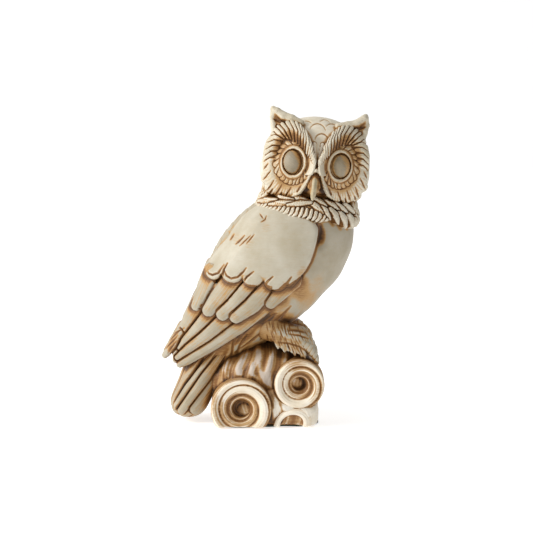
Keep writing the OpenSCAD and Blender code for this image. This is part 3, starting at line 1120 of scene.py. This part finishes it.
def beak_clay():
    c = head_block("beak", 0.5, 5)
    line = [
        (0, -34, -7, 2.4), (-0.2, -38.5, -10, 3.2), (-0.5, -42, -14, 3.7), (-0.7, -44.4, -17.8, 3.1),
        (-0.9, -45.4, -21.6, 1.9), (-1.1, -45.2, -25.4, 0.7),
    ]
    for p, q in zip(line, line[1:]):
        c.add_rod(on_head(*p[:3]), on_head(*q[:3]), p[3], q[3], 1.2)
    # The sides of the bill, and its lower half.
    for u in (-3.2, 2.2):
        c.add_rod(on_head(u, -36, -9), on_head(u - 0.2, -39.5, -16.5), 2.0, 2.2, 1.2)
    c.add_rod(on_head(-0.8, -37, -19), on_head(-1.3, -41, -24), 3.2, 1.2, 0.6)
    return c


def beak_work(co, no):
    u, w, v = face(co.T)
    r = Relief(u, v)
    r.h = 0.6 * hump(u + 0.5 - 0.03 * v, 1.1) * ramp(-w, 38, 42)
    r.strokes([[(-2.4, -8), (-3.4, -14), (-3, -19)], [(1.8, -8), (2.8, -13), (1.8, -18)]], 0.5, 0.4, 0.6)
    # Painted shade on the bill's sides, away from its ridge, and a darker tone towards its root.
    r.wash_and_shade = 1.0 * ramp(np.abs(u + 0.9), 0.8, 3.6) + 0.9 * ramp(v, -13, -8)
    # A dark line at the root, and painted shade on the faces that turn away from the front.
    r.ink = np.maximum(r.ink, 0.8 * ramp(v, -10.5, -8.5) + ramp(no[:, 1], -0.35, 0.0) * 0.6)
    return r


# ---- the ruff ----

RUFF_ROUND = 38  # radius of the ring that the ruff's flat pattern is rolled round


def ruff_flat(p):
    """Flat coordinates of the ruff: round it from the front of the face, and up."""
    u, w, v = face(p)
    return RUFF_ROUND * np.arctan2(u + 3.5, -(w - 1)) - 3.5, v


# The ruff's front, on its flat pattern: two rows that sweep down under the left cheek, from the chin
# outwards, and a rope of nearly level feathers under the right cheek.
SWEEP = [
    [(32, -36), (37, -41), (40.5, -49.5)], [(23, -35), (27.5, -39.5), (30.5, -46.8)],
    [(14.5, -32.8), (19, -36.8), (22, -43.4)], [(5.5, -30), (10.5, -34), (14.8, -40.4)],
    [(-1.5, -28.9), (3.5, -31.5), (9, -36.2)],
]
UNDER_CHEEK = [
    [(30, -29), (36, -32), (42, -36)], [(20.5, -28.5), (26, -31.5), (31.5, -35)],
    [(11.5, -27), (17, -29.5), (23, -33)], [(2, -26), (7, -28), (12, -30.8)],
    [(-16, -25.5), (-10, -27), (-4, -27.5)], [(-30, -27), (-23, -28), (-16, -28)],
]
ROPE = [
    [(-31, -29.6), (-44, -31.8), (-56, -33.4)], [(-14, -29.8), (-26, -31.6), (-37, -33.8)],
    [(-1, -29), (-10, -30.2), (-20, -32.4)],
]


def ruff_feathers():
    """All of the ruff's feathers, the upper rows over the lower ones."""
    out = []

    def row(count, start, end, fall, sweep, thick):
        for i in range(count):
            t = i / (count - 1)
            s, z = start[0] + (end[0] - start[0]) * t, start[1] + (end[1] - start[1]) * t
            bend = sweep * (0.75 + 0.5 * rng.random())
            drop = fall * (0.8 + 0.4 * rng.random())
            path = [(s, z), (s + 0.15 * bend, z - 0.5 * drop), (s + bend, z - drop)]
            out.append((path, [thick * 0.8, thick * (0.85 + 0.3 * rng.random()), thick * 0.25]))

    # Round the back, in three rows.
    for k, z in enumerate((-33, -28, -23)):
        row(14, (44, z - 3), (120, z + 4), 9, 1, 3.2)
        row(14, (-50 + 2.5 * (k % 2), z + 3), (-126, z + 4), 9, -1, 3.2)
    # The fringe over the wing and the breast.
    row(17, (-44, -31.5), (14, -35.5), 7.6, -4.4, 1.9)
    for paths, widths in ((SWEEP, [2.0, 2.8, 0.8]), (UNDER_CHEEK, [1.7, 2.2, 0.8]), (ROPE, [1.4, 2.4, 1.5])):
        out += [(path, widths) for path in paths]
    return out


RUFF = ruff_feathers()
# The fringe's feathers are grooved into one solid skirt with this outline.
FRINGE = [(-56, -29), (-46, -34.5), (-30, -37), (-10, -39.5), (8, -41.5), (16, -41), (16, -28)]


def ruff_clay():
    c = Clay(low("neck_ruff") - 4, high("neck_ruff") + [4, 4, 2], 0.95)
    u, w, v = face(c.p)
    middle = -29.5 - 5.5 * ramp(u, -14, 30)
    flare = 3.6 * ramp(-v, 25, 42) - 2.2 * ramp(v, -30, -24)
    wall = (np.hypot((u + 3.5) / 36.0, (w - 1) / 34.0) - 1) * 34 - flare
    d = smax(np.abs(wall + 4.5) - 4.5, np.abs(v - middle) - 13, 4)
    s, t = ruff_flat(c.p)
    return c.carve(smax(d, np.minimum(bands(s, t, RUFF), polygon(s, t, FRINGE)), 1.2))


def ruff_work(co, no):
    s, t = ruff_flat(co.T)
    r = Relief(s, t)
    r.plumes(RUFF, 1.9, 0.0, 0.5, 0.9, 0.22)
    # The fringe's feathers run together at their roots, and fade out below.
    fringe = ramp(-s, -13, -8) * ramp(-t - 0.08 * s, 33.5, 34.5)
    r.ink *= 1 - fringe * (0.75 * hump(t + 35 + 0.07 * s, 1.8) + 0.6 * ramp(-t - 0.08 * s, 38.5, 40.5))
    r.h *= 1 - 0.45 * fringe
    r.ink *= 0.5 + 0.12 * np.sin(s * 0.37 + 1.3 * np.sin(t * 0.5))
    r.h += 0.18 * np.sin(s * 3.1 + 1.5 * np.sin(t)) * np.sin(t * 1.7)
    # A dark band along the ruff's top, where it runs under the cheeks' hem, is painted shadow; the rest is
    # wash.
    r.wash_and_shade += 0.42 + 0.9 * hump(t + 24, 2.5) + 0.2 * np.sin(s * 0.9) * np.sin(t * 0.8)
    return r.within(ramp(1 - np.abs(no[:, 2]), 0.1, 0.5))


# ---- the legs and feet ----


def leg_clay():
    lo, hi = low("leg_right"), high("leg_right")
    c = Clay(lo - [6, 4, 8], hi + [5, 6, 6], 0.9)
    y = mid("leg_right")[1]
    # Lumps from the thigh out to the toes: place along X and Z, and radii.
    rows = [
        (4, 20.5, 10.5, 13, 12.5),
        (10, 15.4, 11.5, 12, 8.6),
        (18, 13.2, 10.5, 12, 8),
        (25, 10.5, 9.4, 11.5, 9),
        (31, 5, 8, 10.5, 8.5),
    ]
    for dx, dz, rx, ry, rz in rows:
        c.add_ball((lo[0] + dx, y, lo[2] + dz), (rx, ry, rz), 3.5)
    # Tufts that hang from the foot over the perch.
    for i in range(9):
        x = lo[0] + 10 + 2.6 * i
        root = (x, y - 9, lo[2] + 10 - 0.7 * i)
        tip = (x + 1.6, y - 11.5, lo[2] + 3.5 - 0.9 * i + 1.5 * math.sin(i * 2.3))
        c.add_rod(root, tip, 2.8, 0.9, 1.2)
    return c


# The creases of the foot, from the lower left corner of the leg's node.
KNUCKLES = [
    [(19, 17.5), (27, 16.5), (34, 14)], [(19, 14.5), (28, 13), (35, 10)],
    [(21, 20.5), (27, 20), (32, 18.5)], [(12, 8), (20, 7), (28, 4.5), (34, 0.5)],
]


def leg_work(co, no):
    r = Relief(co[:, 0], co[:, 2])
    x0, z0 = low("leg_right")[0], low("leg_right")[2]
    hairs = []
    for _ in range(110):
        x, z = x0 + 42 * rng.random(), z0 - 4 + 30 * rng.random()
        lean = 0.5 + 1.4 * (x - x0) / 40
        hairs.append([(x, z), (x + lean * 0.6, z - 2.8), (x + lean * 1.6, z - 5.4)])
    r.strokes(hairs, 0.45, 0.4, 0.35)
    r.strokes([[(x0 + x, z0 + z) for x, z in path] for path in KNUCKLES], 0.7, 0.8, 0.8)
    rubbed = hump(co[:, 2] - z0 - 12 + 0.3 * (co[:, 0] - x0 - 26), 3.5)
    r.wash_and_shade += 0.55 + 0.5 * ramp(-co[:, 0], -x0 - 20, -x0 - 4) - 0.35 * rubbed
    return r


def toes_clay():
    lo, hi = low("toes_right"), high("toes_right")
    c = Clay(lo - [10, 6, 8], hi + [4, 6, 8], 0.65)
    y = mid("toes_right")[1]
    for k in (-1, 0, 1):
        line = [
            (-1, 5.0 * k, 13, 3.6), (3.2, 5.6 * k, 10.6, 3.4), (6.4, 6.2 * k, 6, 2.9),
            (9.3, 6.6 * k, 1.0, 2.2), (10.2, 6.6 * k, -1.5, 1.3),
        ]
        at = lambda q: np.array([lo[0] + q[0], y + q[1] - 1.5, lo[2] + 3 + q[2]])
        for p, q in zip(line, line[1:]):
            c.add_rod(at(p), at(q), p[3], q[3], 0.7)
    return c


def toes_work(co, no):
    z = co[:, 2] - low("toes_right")[2]
    r = Relief(co[:, 0], co[:, 2])
    r.h = -0.4 * np.abs(np.sin((co[:, 0] - 0.7 * z) * 0.8)) ** 10
    r.wash_and_shade += 0.2
    return r


# ---- the rock ----


def scroll_bands(x, z, middle, radius, start, way, ratio):
    """The bands of a scroll that winds inwards, each that much narrower than the last.

    Returns the distance from its middle, how many turns in from the rim a point lies, the place across
    its band from 0 at the outer edge to 1 at the inner, and the place along the whole winding.
    """
    r = np.hypot(x - middle[0], z - middle[2])
    turn = np.mod(way * (np.arctan2(z - middle[2], x - middle[0]) - start), 2 * math.pi) / (2 * math.pi)
    turns_in = np.log(radius / np.maximum(r, 0.5)) / -math.log(ratio)
    n = turns_in - turn
    k = np.floor(n)
    return r, turns_in, n - k, k + turn


def scroll_depth(r, turns_in, t, hole):
    """How far the face of a scroll lies behind its front."""
    width = np.maximum(r, 3) * 0.5
    round_top = 1 - np.sqrt(np.clip(1 - np.clip(1.7 * t - 0.75, -0.98, 0.98) ** 2, 0, 1))
    depth = 2.6 * np.maximum(turns_in, 0) + 0.45 * width * round_top
    return depth + 2.5 * ramp(-r, -hole, -hole + 1.6) - 1.8 * ramp(-r, -hole * 0.62, -hole * 0.3)


def scroll_place(node):
    """A scroll's middle and radius, its face, and which way it looks along Y."""
    lo, hi = low(node), high(node)
    m, radius = (lo + hi) / 2, (hi[0] - lo[0]) / 2
    m[2] = hi[2] - radius
    return (m, radius, lo[1], -1) if m[1] < 0 else (m, radius, hi[1], 1)


def scroll_clay(node, start, way, hole, ratio):
    lo, hi = low(node), high(node)
    c = Clay(lo - 3, hi + 3, 0.7)
    m, radius, front, out = scroll_place(node)
    x, y, z = c.p
    r, turns_in, t, _ = scroll_bands(x, z, m, radius, start, way, ratio)
    depth = scroll_depth(r, turns_in, t, hole)
    face_d = (front + depth - y) * 0.7 if out < 0 else (y - front + depth) * 0.7
    d = smax(r - radius + 0.4, face_d, 3.2)
    d = smax(d, (y - hi[1]) if out < 0 else (lo[1] - y), 2)
    return c.carve(smax(d, FLOOR_Z - z, 0.8))


def scroll_work(node, start, way, hole, ratio, clean=(0.9, 0.74, 0.15)):
    """Combed ridges along each band. clean is the angle, place and width of the wiped, white crescent."""

    def work(co, no):
        m, radius, _, _ = scroll_place(node)
        r, _, t, along = scroll_bands(co[:, 0], co[:, 2], m, radius, start, way, ratio)
        relief = Relief(co[:, 0], co[:, 2])
        faces = ramp(np.abs(no[:, 1]), 0.25, 0.6)
        comb = np.sin(t * 19 + 2 * np.sin(along * 5)) * np.sin(t * 7 + along * 3)
        comb = comb * faces + (1 - faces) * np.sin(co[:, 1] * 1.8 + np.sin(co[:, 0] * 0.3))
        relief.h = 0.2 * comb
        brim = np.minimum(t, 1 - t) * r * 0.45
        relief.ink = 0.55 * hump(brim, 0.5) * faces
        angle = np.arctan2(co[:, 2] - m[2], co[:, 0] - m[0]) - clean[0]
        round_it = ramp(np.cos(angle), -0.55, 0.45)
        crescent = hump(r / radius - clean[1], clean[2] * (0.3 + 0.7 * round_it)) * (0.15 + 0.85 * round_it)
        bands = 0.48 - 1.1 * crescent + 0.3 * hump(r / radius - 0.48, 0.13)
        pit = ramp(-r, -hole, -hole + 1.2)
        boss = ramp(-r, -hole * 0.6, -hole * 0.3)
        relief.wash_and_shade = faces * bands + (1 - faces) * 0.8 + 0.7 * comb
        relief.wash_and_shade += 0.4 * faces * hump(brim, 1.3) + 1.0 * pit - 0.5 * boss
        return relief

    return work


def arch_reach(x, z):
    """Distance from the middle of the cave, on an arch that leans to the right."""
    lo = low("corner_scroll")
    dx, dz = x - lo[0] - 12.0, z - lo[2] - 1.6
    return np.hypot(dx * (0.86 - 0.006 * dx) - 0.18 * dz, dz * 0.98)


def arch_clay():
    lo, hi = low("corner_scroll"), high("corner_scroll")
    c = Clay(lo - 3, hi + 3, 0.6)
    x, y, z = c.p
    r = arch_reach(x, z)
    recess = 1.0 + 7 * ramp(-r, -8.0, -6.4) + 0.45 * np.maximum(r - 9.4, 0)
    d = smax(r - 12.5, (lo[1] + recess - y) * 0.7, 1.2)
    d = smax(d, y - hi[1], 1)
    return c.carve(smax(d, FLOOR_Z - z, 0.6))


def arch_work(co, no):
    r = arch_reach(co[:, 0], co[:, 2])
    relief = Relief(co[:, 0], co[:, 2])
    relief.h = 0.5 * hump(r - 8.8, 1.2) + 0.1 * np.sin(r * 5)
    relief.ink = 0.35 * ramp(-r, -7.2, -6.2)
    relief.wash_and_shade = 1.9 * ramp(-r, -7.8, -6.6) - 0.7 * hump(r - 9, 1.4) + 0.5 * ramp(r, 9.5, 12)
    return relief


def roll_clay():
    lo = low("perch_roll")
    c = Clay(lo - 3, high("perch_roll") + 3, 1.1)
    rows = [
        (11.9, 14.8, 12, 20, 15),
        (26.9, 18.8, 16, 27, 19),
        (42.9, 22.8, 17, 30, 21),
        (58.9, 21.8, 17, 31, 20),
        (72.9, 17.8, 16, 29, 17),
    ]
    stations = [([lo[0] + dx, 0, lo[2] + dz], [rx, ry, rz]) for dx, dz, rx, ry, rz in rows]
    return c.carve(chain(c.p, stations, 5))


# Ridges that run down from under the bird and flow between the scrolls to the ground.
FLOW = [
    [(-1, 60), (-5, 50), (-4.9, 43), (-1.1, 36), (4.5, 27), (6.9, 18), (6.4, 6)],
    [(8, 60), (2.5, 50), (1, 42), (4, 32), (8.5, 20), (9, 14)],
    [(-9, 58), (-11.5, 48), (-10, 40), (-4, 33), (2, 24), (4, 14)],
    [(-18.5, 54), (-21, 44), (-18.5, 38), (-9, 34)],
    [(-28, 51), (-30.5, 42), (-29, 36), (-22, 35)],
    [(8, 22), (14, 17), (22, 17), (30, 13), (35, 3)],
    [(9, 17), (15, 14.5), (23, 14)],
    [(40, 19), (36, 13), (31, 10)],
]
# Soft stains on the rock, and places where the wash is wiped off: centre, radii and amount.
ROCK_STAINS = [
    ((36, 10), (9, 13), -1.3), ((-13, 6), (9, 5), -0.9), ((-22, 44), (10, 8), -0.5),
    ((2, 38), (9, 12), -0.35), ((8, 27), (7, 14), 0.6), ((-30, 36), (8, 10), 0.5),
    ((8, 12), (6, 8), -0.4),
]
RIB_PITCH = 10.3  # mm from one upright rib of the perch to the next


def rock_work(co, no):
    x, y, z = co.T
    r = Relief(x, z)
    r.strokes(FLOW, 2.4, -1.1, 0.0)
    crest = np.clip(r.h / 1.1, 0, 1)
    side = ramp(np.abs(no[:, 1]), 0.15, 0.5)
    r.within(side)
    bend = x - 3.2 * np.sin((z - 46) * 0.12) + 0.02 * y * x / 10 + 0.8 * np.sin(z * 0.23 + x * 0.1)
    rib = np.sin(bend * 2 * math.pi / RIB_PITCH + 0.6)
    fine = 0.6 * np.sin(bend * 3.9 + 0.3 * z) * np.sin(z * 0.11 + bend)
    streak = np.sin(bend * 1.7) * np.sin(bend * 0.83 + 1) + fine
    high_up = ramp(z, 26, 36)
    r.h += high_up * 0.45 * rib + 0.14 * streak
    r.wash_and_shade = 0.95 - 0.65 * crest * side + 0.75 * streak - 0.25 * rib * high_up
    for centre, radii, amount in ROCK_STAINS:
        r.stain_or_shade_patch(centre, radii, amount)
    return r


def mound_clay():
    lo, hi = low("base_mound"), high("base_mound")
    c = Clay(lo - 2, hi + 3, 1.1)
    m = (lo + hi) / 2
    rows = [
        (-23, 8.5, 17.6, 29, 17),
        (-7, 11.5, 22, 34.5, 20),
        (11, 12.5, 22, 35.5, 21),
        (23, 11.5, 17.5, 33.5, 19),
    ]
    d = chain(c.p, [([m[0] + dx, 0, lo[2] + dz], [rx, ry, rz]) for dx, dz, rx, ry, rz in rows], 5)
    corner = ball(c.p, (hi[0] - 9.5, lo[1] + 11, lo[2] + 8), (9.5, 11, 15))
    d = smin(d, corner, 5)
    return c.carve(smax(d, FLOOR_Z - c.z, 1.0))


# The discs that the felt's outline is made of: centre from the pad's middle, and radius.
FELT_DISCS = [((-20, -14.5), 20), ((-2, 0.5), 32.5), ((23.4, -13.5), 16.5), ((14, 12.5), 22)]


def felt_clay():
    lo, hi = low("felt_pad"), high("felt_pad")
    c = Clay(lo - 1.5, hi + 1.5, 0.5)
    m = (lo + hi) / 2
    x, y, z = c.p
    flat = None
    for (dx, dy), r in FELT_DISCS:
        e = np.hypot(x - m[0] - dx, y - m[1] - dy) - r
        flat = e if flat is None else smin(flat, e, 6)
    return c.carve(smax(flat, np.abs(z - m[2]) - (hi[2] - lo[2]) / 2, 0.6))


def felt_work(co, no):
    r = Relief(co[:, 0], co[:, 1])
    r.h = 0.12 * (1 - np.abs(no[:, 2])) * np.sin(r.u * 5 + r.v * 3.3)
    return r


# ---- materials ----


def link(tree, a, b):
    tree.links.new(a, b)


def maths(tree, operation, a, b):
    """The result of an operation on two values, each a number or another node's output."""
    n = tree.nodes.new("ShaderNodeMath")
    n.operation = operation
    for i, v in enumerate((a, b)):
        if isinstance(v, (int, float)):
            n.inputs[i].default_value = v
        else:
            link(tree, v, n.inputs[i])
    return n.outputs[0]


def noise(tree, vector, scale, detail, roughness=0.55):
    n = tree.nodes.new("ShaderNodeTexNoise")
    n.inputs["Scale"].default_value = scale
    n.inputs["Detail"].default_value = detail
    n.inputs["Roughness"].default_value = roughness
    link(tree, vector, n.inputs["Vector"])
    return n.outputs["Fac"]


def blend(tree, fac, a, b):
    """A mix of two colours, each a tuple or another node's output."""
    n = tree.nodes.new("ShaderNodeMix")
    n.data_type = "RGBA"
    link(tree, fac, n.inputs[0])
    for socket, v in ((n.inputs[6], a), (n.inputs[7], b)):
        if isinstance(v, tuple):
            socket.default_value = (*v, 1)
        else:
            link(tree, v, socket)
    return n.outputs[2]


def layer(tree, value, span, strength, under, over):
    """The colour over laid on the colour under where value rises through the span."""
    return blend(tree, maths(tree, "MULTIPLY", spread(tree, value, *span), strength), under, over)


def read(tree, name):
    """The value of a mesh attribute."""
    n = tree.nodes.new("ShaderNodeAttribute")
    n.attribute_name = name
    return n.outputs["Fac"]


def spread(tree, value, low_in, high_in):
    n = tree.nodes.new("ShaderNodeMapRange")
    n.interpolation_type = "SMOOTHSTEP"
    link(tree, value, n.inputs[0])
    n.inputs[1].default_value = low_in
    n.inputs[2].default_value = high_in
    return n.outputs[0]


# Paints and washes, as linear colours.
IVORY = (0.43, 0.37, 0.255)
CREAM = (0.60, 0.56, 0.46)
AMBER = (0.47, 0.26, 0.08)
OCHRE = (0.23, 0.095, 0.02)
UMBER = (0.045, 0.019, 0.006)


def ceramic(name, base=IVORY, light=CREAM, wash_and_shade=1.0, depth=1.0):
    """Painted ceramic with a brown wash wiped off its high places and left in its grooves, and painted shade
    where it is hidden from the light.
    """
    mat = bpy.data.materials.new(name)
    mat.use_nodes = True
    t = mat.node_tree
    shader = t.nodes["Principled BSDF"]
    plus, times = partial(maths, t, "ADD"), partial(maths, t, "MULTIPLY")
    where = t.nodes.new("ShaderNodeTexCoord").outputs["Object"]
    near, far, shut = read(t, "groove"), read(t, "hollow"), read(t, "shut")
    cloud = noise(t, where, 55, 5)
    grain = noise(t, where, 600, 3)
    # Long brush strokes: noise that is stretched along one direction.
    stretch = t.nodes.new("ShaderNodeMapping")
    stretch.inputs["Scale"].default_value = (0.25, 1.0, 1.6)
    stretch.inputs["Rotation"].default_value = (0.3, 0.7, 0.2)
    link(t, where, stretch.inputs["Vector"])
    brush = noise(t, stretch.outputs[0], 700, 3, 0.7)

    stain_and_shade = plus(times(near, 2.2 * depth), times(far, 0.9 * depth))
    # Painted shade where nearby parts hide the surface from the light, with the wash that gathers there.
    hidden_shade_and_wash = times(spread(t, shut, 0.2, 0.85), 0.95)
    patchy = times(plus(cloud, -0.5), 1.3)
    streaky = times(plus(brush, -0.5), 1.2)
    uneven = plus(1.0, plus(patchy, streaky))
    # The pieces' own soft tones, which hold stains and painted shade.
    soft = times(read(t, "wash_and_shade"), 0.8)
    halo = times(read(t, "halo"), 1.9)
    soft = times(plus(soft, halo), uneven)
    stain_and_shade = plus(plus(stain_and_shade, hidden_shade_and_wash), soft)
    stain_and_shade = plus(stain_and_shade, times(patchy, 0.16))
    stain_and_shade = times(stain_and_shade, wash_and_shade)

    paint = blend(t, spread(t, cloud, 0.15, 0.9), base, light)
    c = layer(t, brush, (0.45, 0.75), 0.16, paint, AMBER)
    c = layer(t, times(near, -1.0), (0.02, 0.2), 0.5, c, light)
    c = layer(t, stain_and_shade, (0.05, 0.55), 0.9, c, AMBER)
    c = layer(t, stain_and_shade, (0.45, 1.1), 0.92, c, OCHRE)
    c = layer(t, stain_and_shade, (1.1, 2.0), 0.9, c, UMBER)
    edge = plus(read(t, "ink"), times(patchy, 0.25))
    c = layer(t, edge, (0.15, 0.6), 0.75, c, OCHRE)
    c = layer(t, edge, (0.6, 1.0), 0.85, c, UMBER)
    link(t, c, shader.inputs["Base Color"])

    roughness = plus(0.4, times(cloud, 0.2))
    link(t, roughness, shader.inputs["Roughness"])
    shader.inputs["Specular IOR Level"].default_value = 0.4
    bump = t.nodes.new("ShaderNodeBump")
    bump.inputs["Strength"].default_value = 0.35
    bump.inputs["Distance"].default_value = 0.0003
    fine = plus(times(brush, 0.7), times(grain, 0.5))
    link(t, fine, bump.inputs["Height"])
    link(t, bump.outputs[0], shader.inputs["Normal"])
    return mat


def felt():
    mat = bpy.data.materials.new("felt")
    mat.use_nodes = True
    t = mat.node_tree
    shader = t.nodes["Principled BSDF"]
    where = t.nodes.new("ShaderNodeTexCoord").outputs["Object"]
    fuzz = noise(t, where, 2500, 6, 0.8)
    link(t, blend(t, fuzz, (0.012, 0.02, 0.01), (0.04, 0.06, 0.03)), shader.inputs["Base Color"])
    shader.inputs["Roughness"].default_value = 0.95
    shader.inputs["Sheen Weight"].default_value = 0.4
    bump = t.nodes.new("ShaderNodeBump")
    bump.inputs["Distance"].default_value = 0.0004
    link(t, fuzz, bump.inputs["Height"])
    link(t, bump.outputs[0], shader.inputs["Normal"])
    return mat


PLUMAGE = ceramic("plumage")
FACE = ceramic("face", base=(0.52, 0.45, 0.31), light=(0.72, 0.66, 0.54))
ROCK = ceramic("rock", base=(0.72, 0.62, 0.45), light=(0.9, 0.86, 0.78), wash_and_shade=1.15)
# A darker, browner copy of the plumage's paints for the torso, the lower wing and the tail: partly their
# browner paint, partly painted shade on these lower parts.
FEATHER = ceramic("feathers", base=(0.35, 0.295, 0.195), light=(0.5, 0.455, 0.36))
HEAD_PAINT = ceramic("head", base=(0.66, 0.58, 0.42), light=(0.86, 0.8, 0.68))
SCROLL = ceramic("scrolls", base=(0.8, 0.68, 0.48), light=(0.95, 0.9, 0.81), wash_and_shade=0.88, depth=0.5)
PERCH = ceramic("perch", base=(0.5, 0.41, 0.32), light=(0.66, 0.58, 0.5), wash_and_shade=1.2)
EYE = ceramic("eyes", base=(0.22, 0.175, 0.105), light=(0.36, 0.31, 0.23), wash_and_shade=0.8)
BEAK = ceramic("beak", base=(0.4, 0.33, 0.2), light=(0.58, 0.5, 0.35), wash_and_shade=1.2)
FELT = felt()


# ---- build ----

piece("torso", torso_clay(), torso_work, FEATHER)
piece("wing_coverts_right", coverts_clay(), coverts_work, PLUMAGE, smooth=1)
secondaries_work = layer_work(SECONDARIES, 3.0, covert_edge)
primaries_work = layer_work(PRIMARIES, 2.9, over_primaries, RAGS)
piece("wing_secondaries_right", layer_clay("secondaries", SECONDARIES, 2.6, 6), secondaries_work, FEATHER)
piece("wing_primaries_right", layer_clay("primaries", PRIMARIES, 0.6, 1.2), primaries_work, FEATHER)
piece("tail", tail_clay(), tail_work, FEATHER, levels=2)
piece("head", head_clay(), head_work, HEAD_PAINT)
for side in (RIGHT, LEFT):
    piece(sided("face_disc", side), disc_clay(side), disc_work(side), FACE)
    piece(sided("brow", side), brow_clay(side), brow_work(side), FACE)
    piece(sided("ear_tuft", side), ear_clay(side), ear_work(side), FACE)
    piece(sided("eye", side), eye_clay(side), eye_work, EYE)
piece("beak", beak_clay(), beak_work, BEAK)
piece("neck_ruff", ruff_clay(), ruff_work, FACE)
piece("leg_right", leg_clay(), leg_work, PLUMAGE)
piece("toes_right", toes_clay(), toes_work, PLUMAGE)
for limb in ("wing_coverts", "wing_secondaries", "wing_primaries", "leg", "toes"):
    mirror_piece(limb + "_left", limb + "_right")
piece("base_mound", mound_clay(), rock_work, ROCK)
piece("perch_roll", roll_clay(), rock_work, PERCH)
# Each scroll's starting angle, way round, hole, ratio of one band to the last, and wiped crescent.
for name, shape in (
    ("front_scroll", (-1.2, 1, 7.6, 0.61, (1.1, 0.74, 0.16))),
    ("perch_scroll", (-2.4, 1, 5.8, 0.6, (-2.6, 0.66, 0.2))),
    ("rear_scroll", (0.6, -1, 6.5, 0.61, (1.6, 0.74, 0.16))),
    ("rear_small_scroll", (-0.4, 1, 4.5, 0.6, (0.8, 0.74, 0.16))),
):
    piece(name, scroll_clay(name, *shape[:4]), scroll_work(name, *shape), SCROLL)
piece("corner_scroll", arch_clay(), arch_work, SCROLL)
piece("felt_pad", felt_clay(), felt_work, FELT)


def finish_pieces():
    # How closed in each vertex is by the pieces round it, which the materials paint as shade and wash.
    hidden = occlusion([o.data for o, _, _ in made])
    for (o, web, relief), shut in zip(made, hidden):
        me = o.data
        near, far = grooves(me, web)
        attribute(me, "groove", near)
        attribute(me, "hollow", far)
        attribute(me, "ink", relief.ink)
        attribute(me, "halo", web.blur(relief.ink[:, None], 26)[:, 0])
        attribute(me, "wash_and_shade", relief.wash_and_shade)
        attribute(me, "shut", web.blur(shut[:, None], 4)[:, 0])
        put(me, coords(me) * MM)
        me.update()
        replaced = o["node"]
        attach(o, BODY)
        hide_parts(replaced)


finish_pieces()


# ---- studio, in metres ----

FLOOR_HALF = 3.0
FLOOR_GLOW = 0.62  # so that the lit floor clips to the photo's white
AIM = Vector((0, 0, 0.1189))
DISTANCE = 1.3
ELEVATION = math.radians(7)
SENSOR = 36
FOCAL, WIDTH = 1690, 533  # the photo's assumed focal length, and its width, in pixels


def floor():
    me = bpy.data.meshes.new("floor")
    s = FLOOR_HALF
    me.from_pydata([(-s, -s, 0), (s, -s, 0), (s, s, 0), (-s, s, 0)], [], [(0, 1, 2, 3)])
    o = bpy.data.objects.new("floor", me)
    bpy.context.scene.collection.objects.link(o)
    mat = bpy.data.materials.new("floor")
    mat.use_nodes = True
    shader = mat.node_tree.nodes["Principled BSDF"]
    shader.inputs["Base Color"].default_value = (0.7, 0.7, 0.7, 1)
    shader.inputs["Roughness"].default_value = 0.8
    shader.inputs["Emission Color"].default_value = (1, 1, 1, 1)
    shader.inputs["Emission Strength"].default_value = FLOOR_GLOW
    me.materials.append(mat)


def lamp(name, place, size, power):
    """A square lamp that shines on the figurine's middle."""
    data = bpy.data.lights.new(name, "AREA")
    data.size = size
    data.energy = power
    o = bpy.data.objects.new(name, data)
    o.location = place
    o.rotation_euler = (Vector((0, 0, 0.12)) - Vector(place)).to_track_quat("-Z", "Y").to_euler()
    bpy.context.scene.collection.objects.link(o)


def studio():
    """A white room, brightest behind the figurine, on its left in the picture and above it."""
    floor()
    world = bpy.data.worlds.new("studio")
    world.use_nodes = True
    t = world.node_tree
    plus, times = partial(maths, t, "ADD"), partial(maths, t, "MULTIPLY")
    way = t.nodes.new("ShaderNodeSeparateXYZ")
    t.links.new(t.nodes.new("ShaderNodeTexCoord").outputs["Generated"], way.inputs[0])
    back = spread(t, way.outputs[1], 0.78, 0.95)
    left = spread(t, times(way.outputs[0], -1.0), -0.2, 0.9)
    above = spread(t, way.outputs[2], 0.3, 0.95)
    glow = plus(times(back, 0.88), times(left, 0.75))
    glow = plus(glow, times(above, 0.55))
    t.nodes["Background"].inputs[0].default_value = (1, 1, 1, 1)
    link(t, plus(glow, 0.12), t.nodes["Background"].inputs[1])
    bpy.context.scene.world = world
    lamp("key", (-1.3, -0.5, 0.9), 0.35, 15)
    lamp("fill", (0.9, -0.9, 0.5), 0.8, 0.4)


def camera():
    back = Vector((0, -math.cos(ELEVATION), math.sin(ELEVATION)))
    data = bpy.data.cameras.new("camera")
    data.sensor_width = SENSOR
    data.lens = SENSOR * FOCAL / WIDTH
    o = bpy.data.objects.new("camera", data)
    o.location = AIM + back * DISTANCE
    o.rotation_euler = (-back).to_track_quat("-Z", "Y").to_euler()
    bpy.context.scene.collection.objects.link(o)
    bpy.context.scene.camera = o


studio()
camera()
bpy.context.scene.view_settings.view_transform = "Standard"
bpy.context.view_layer.update()
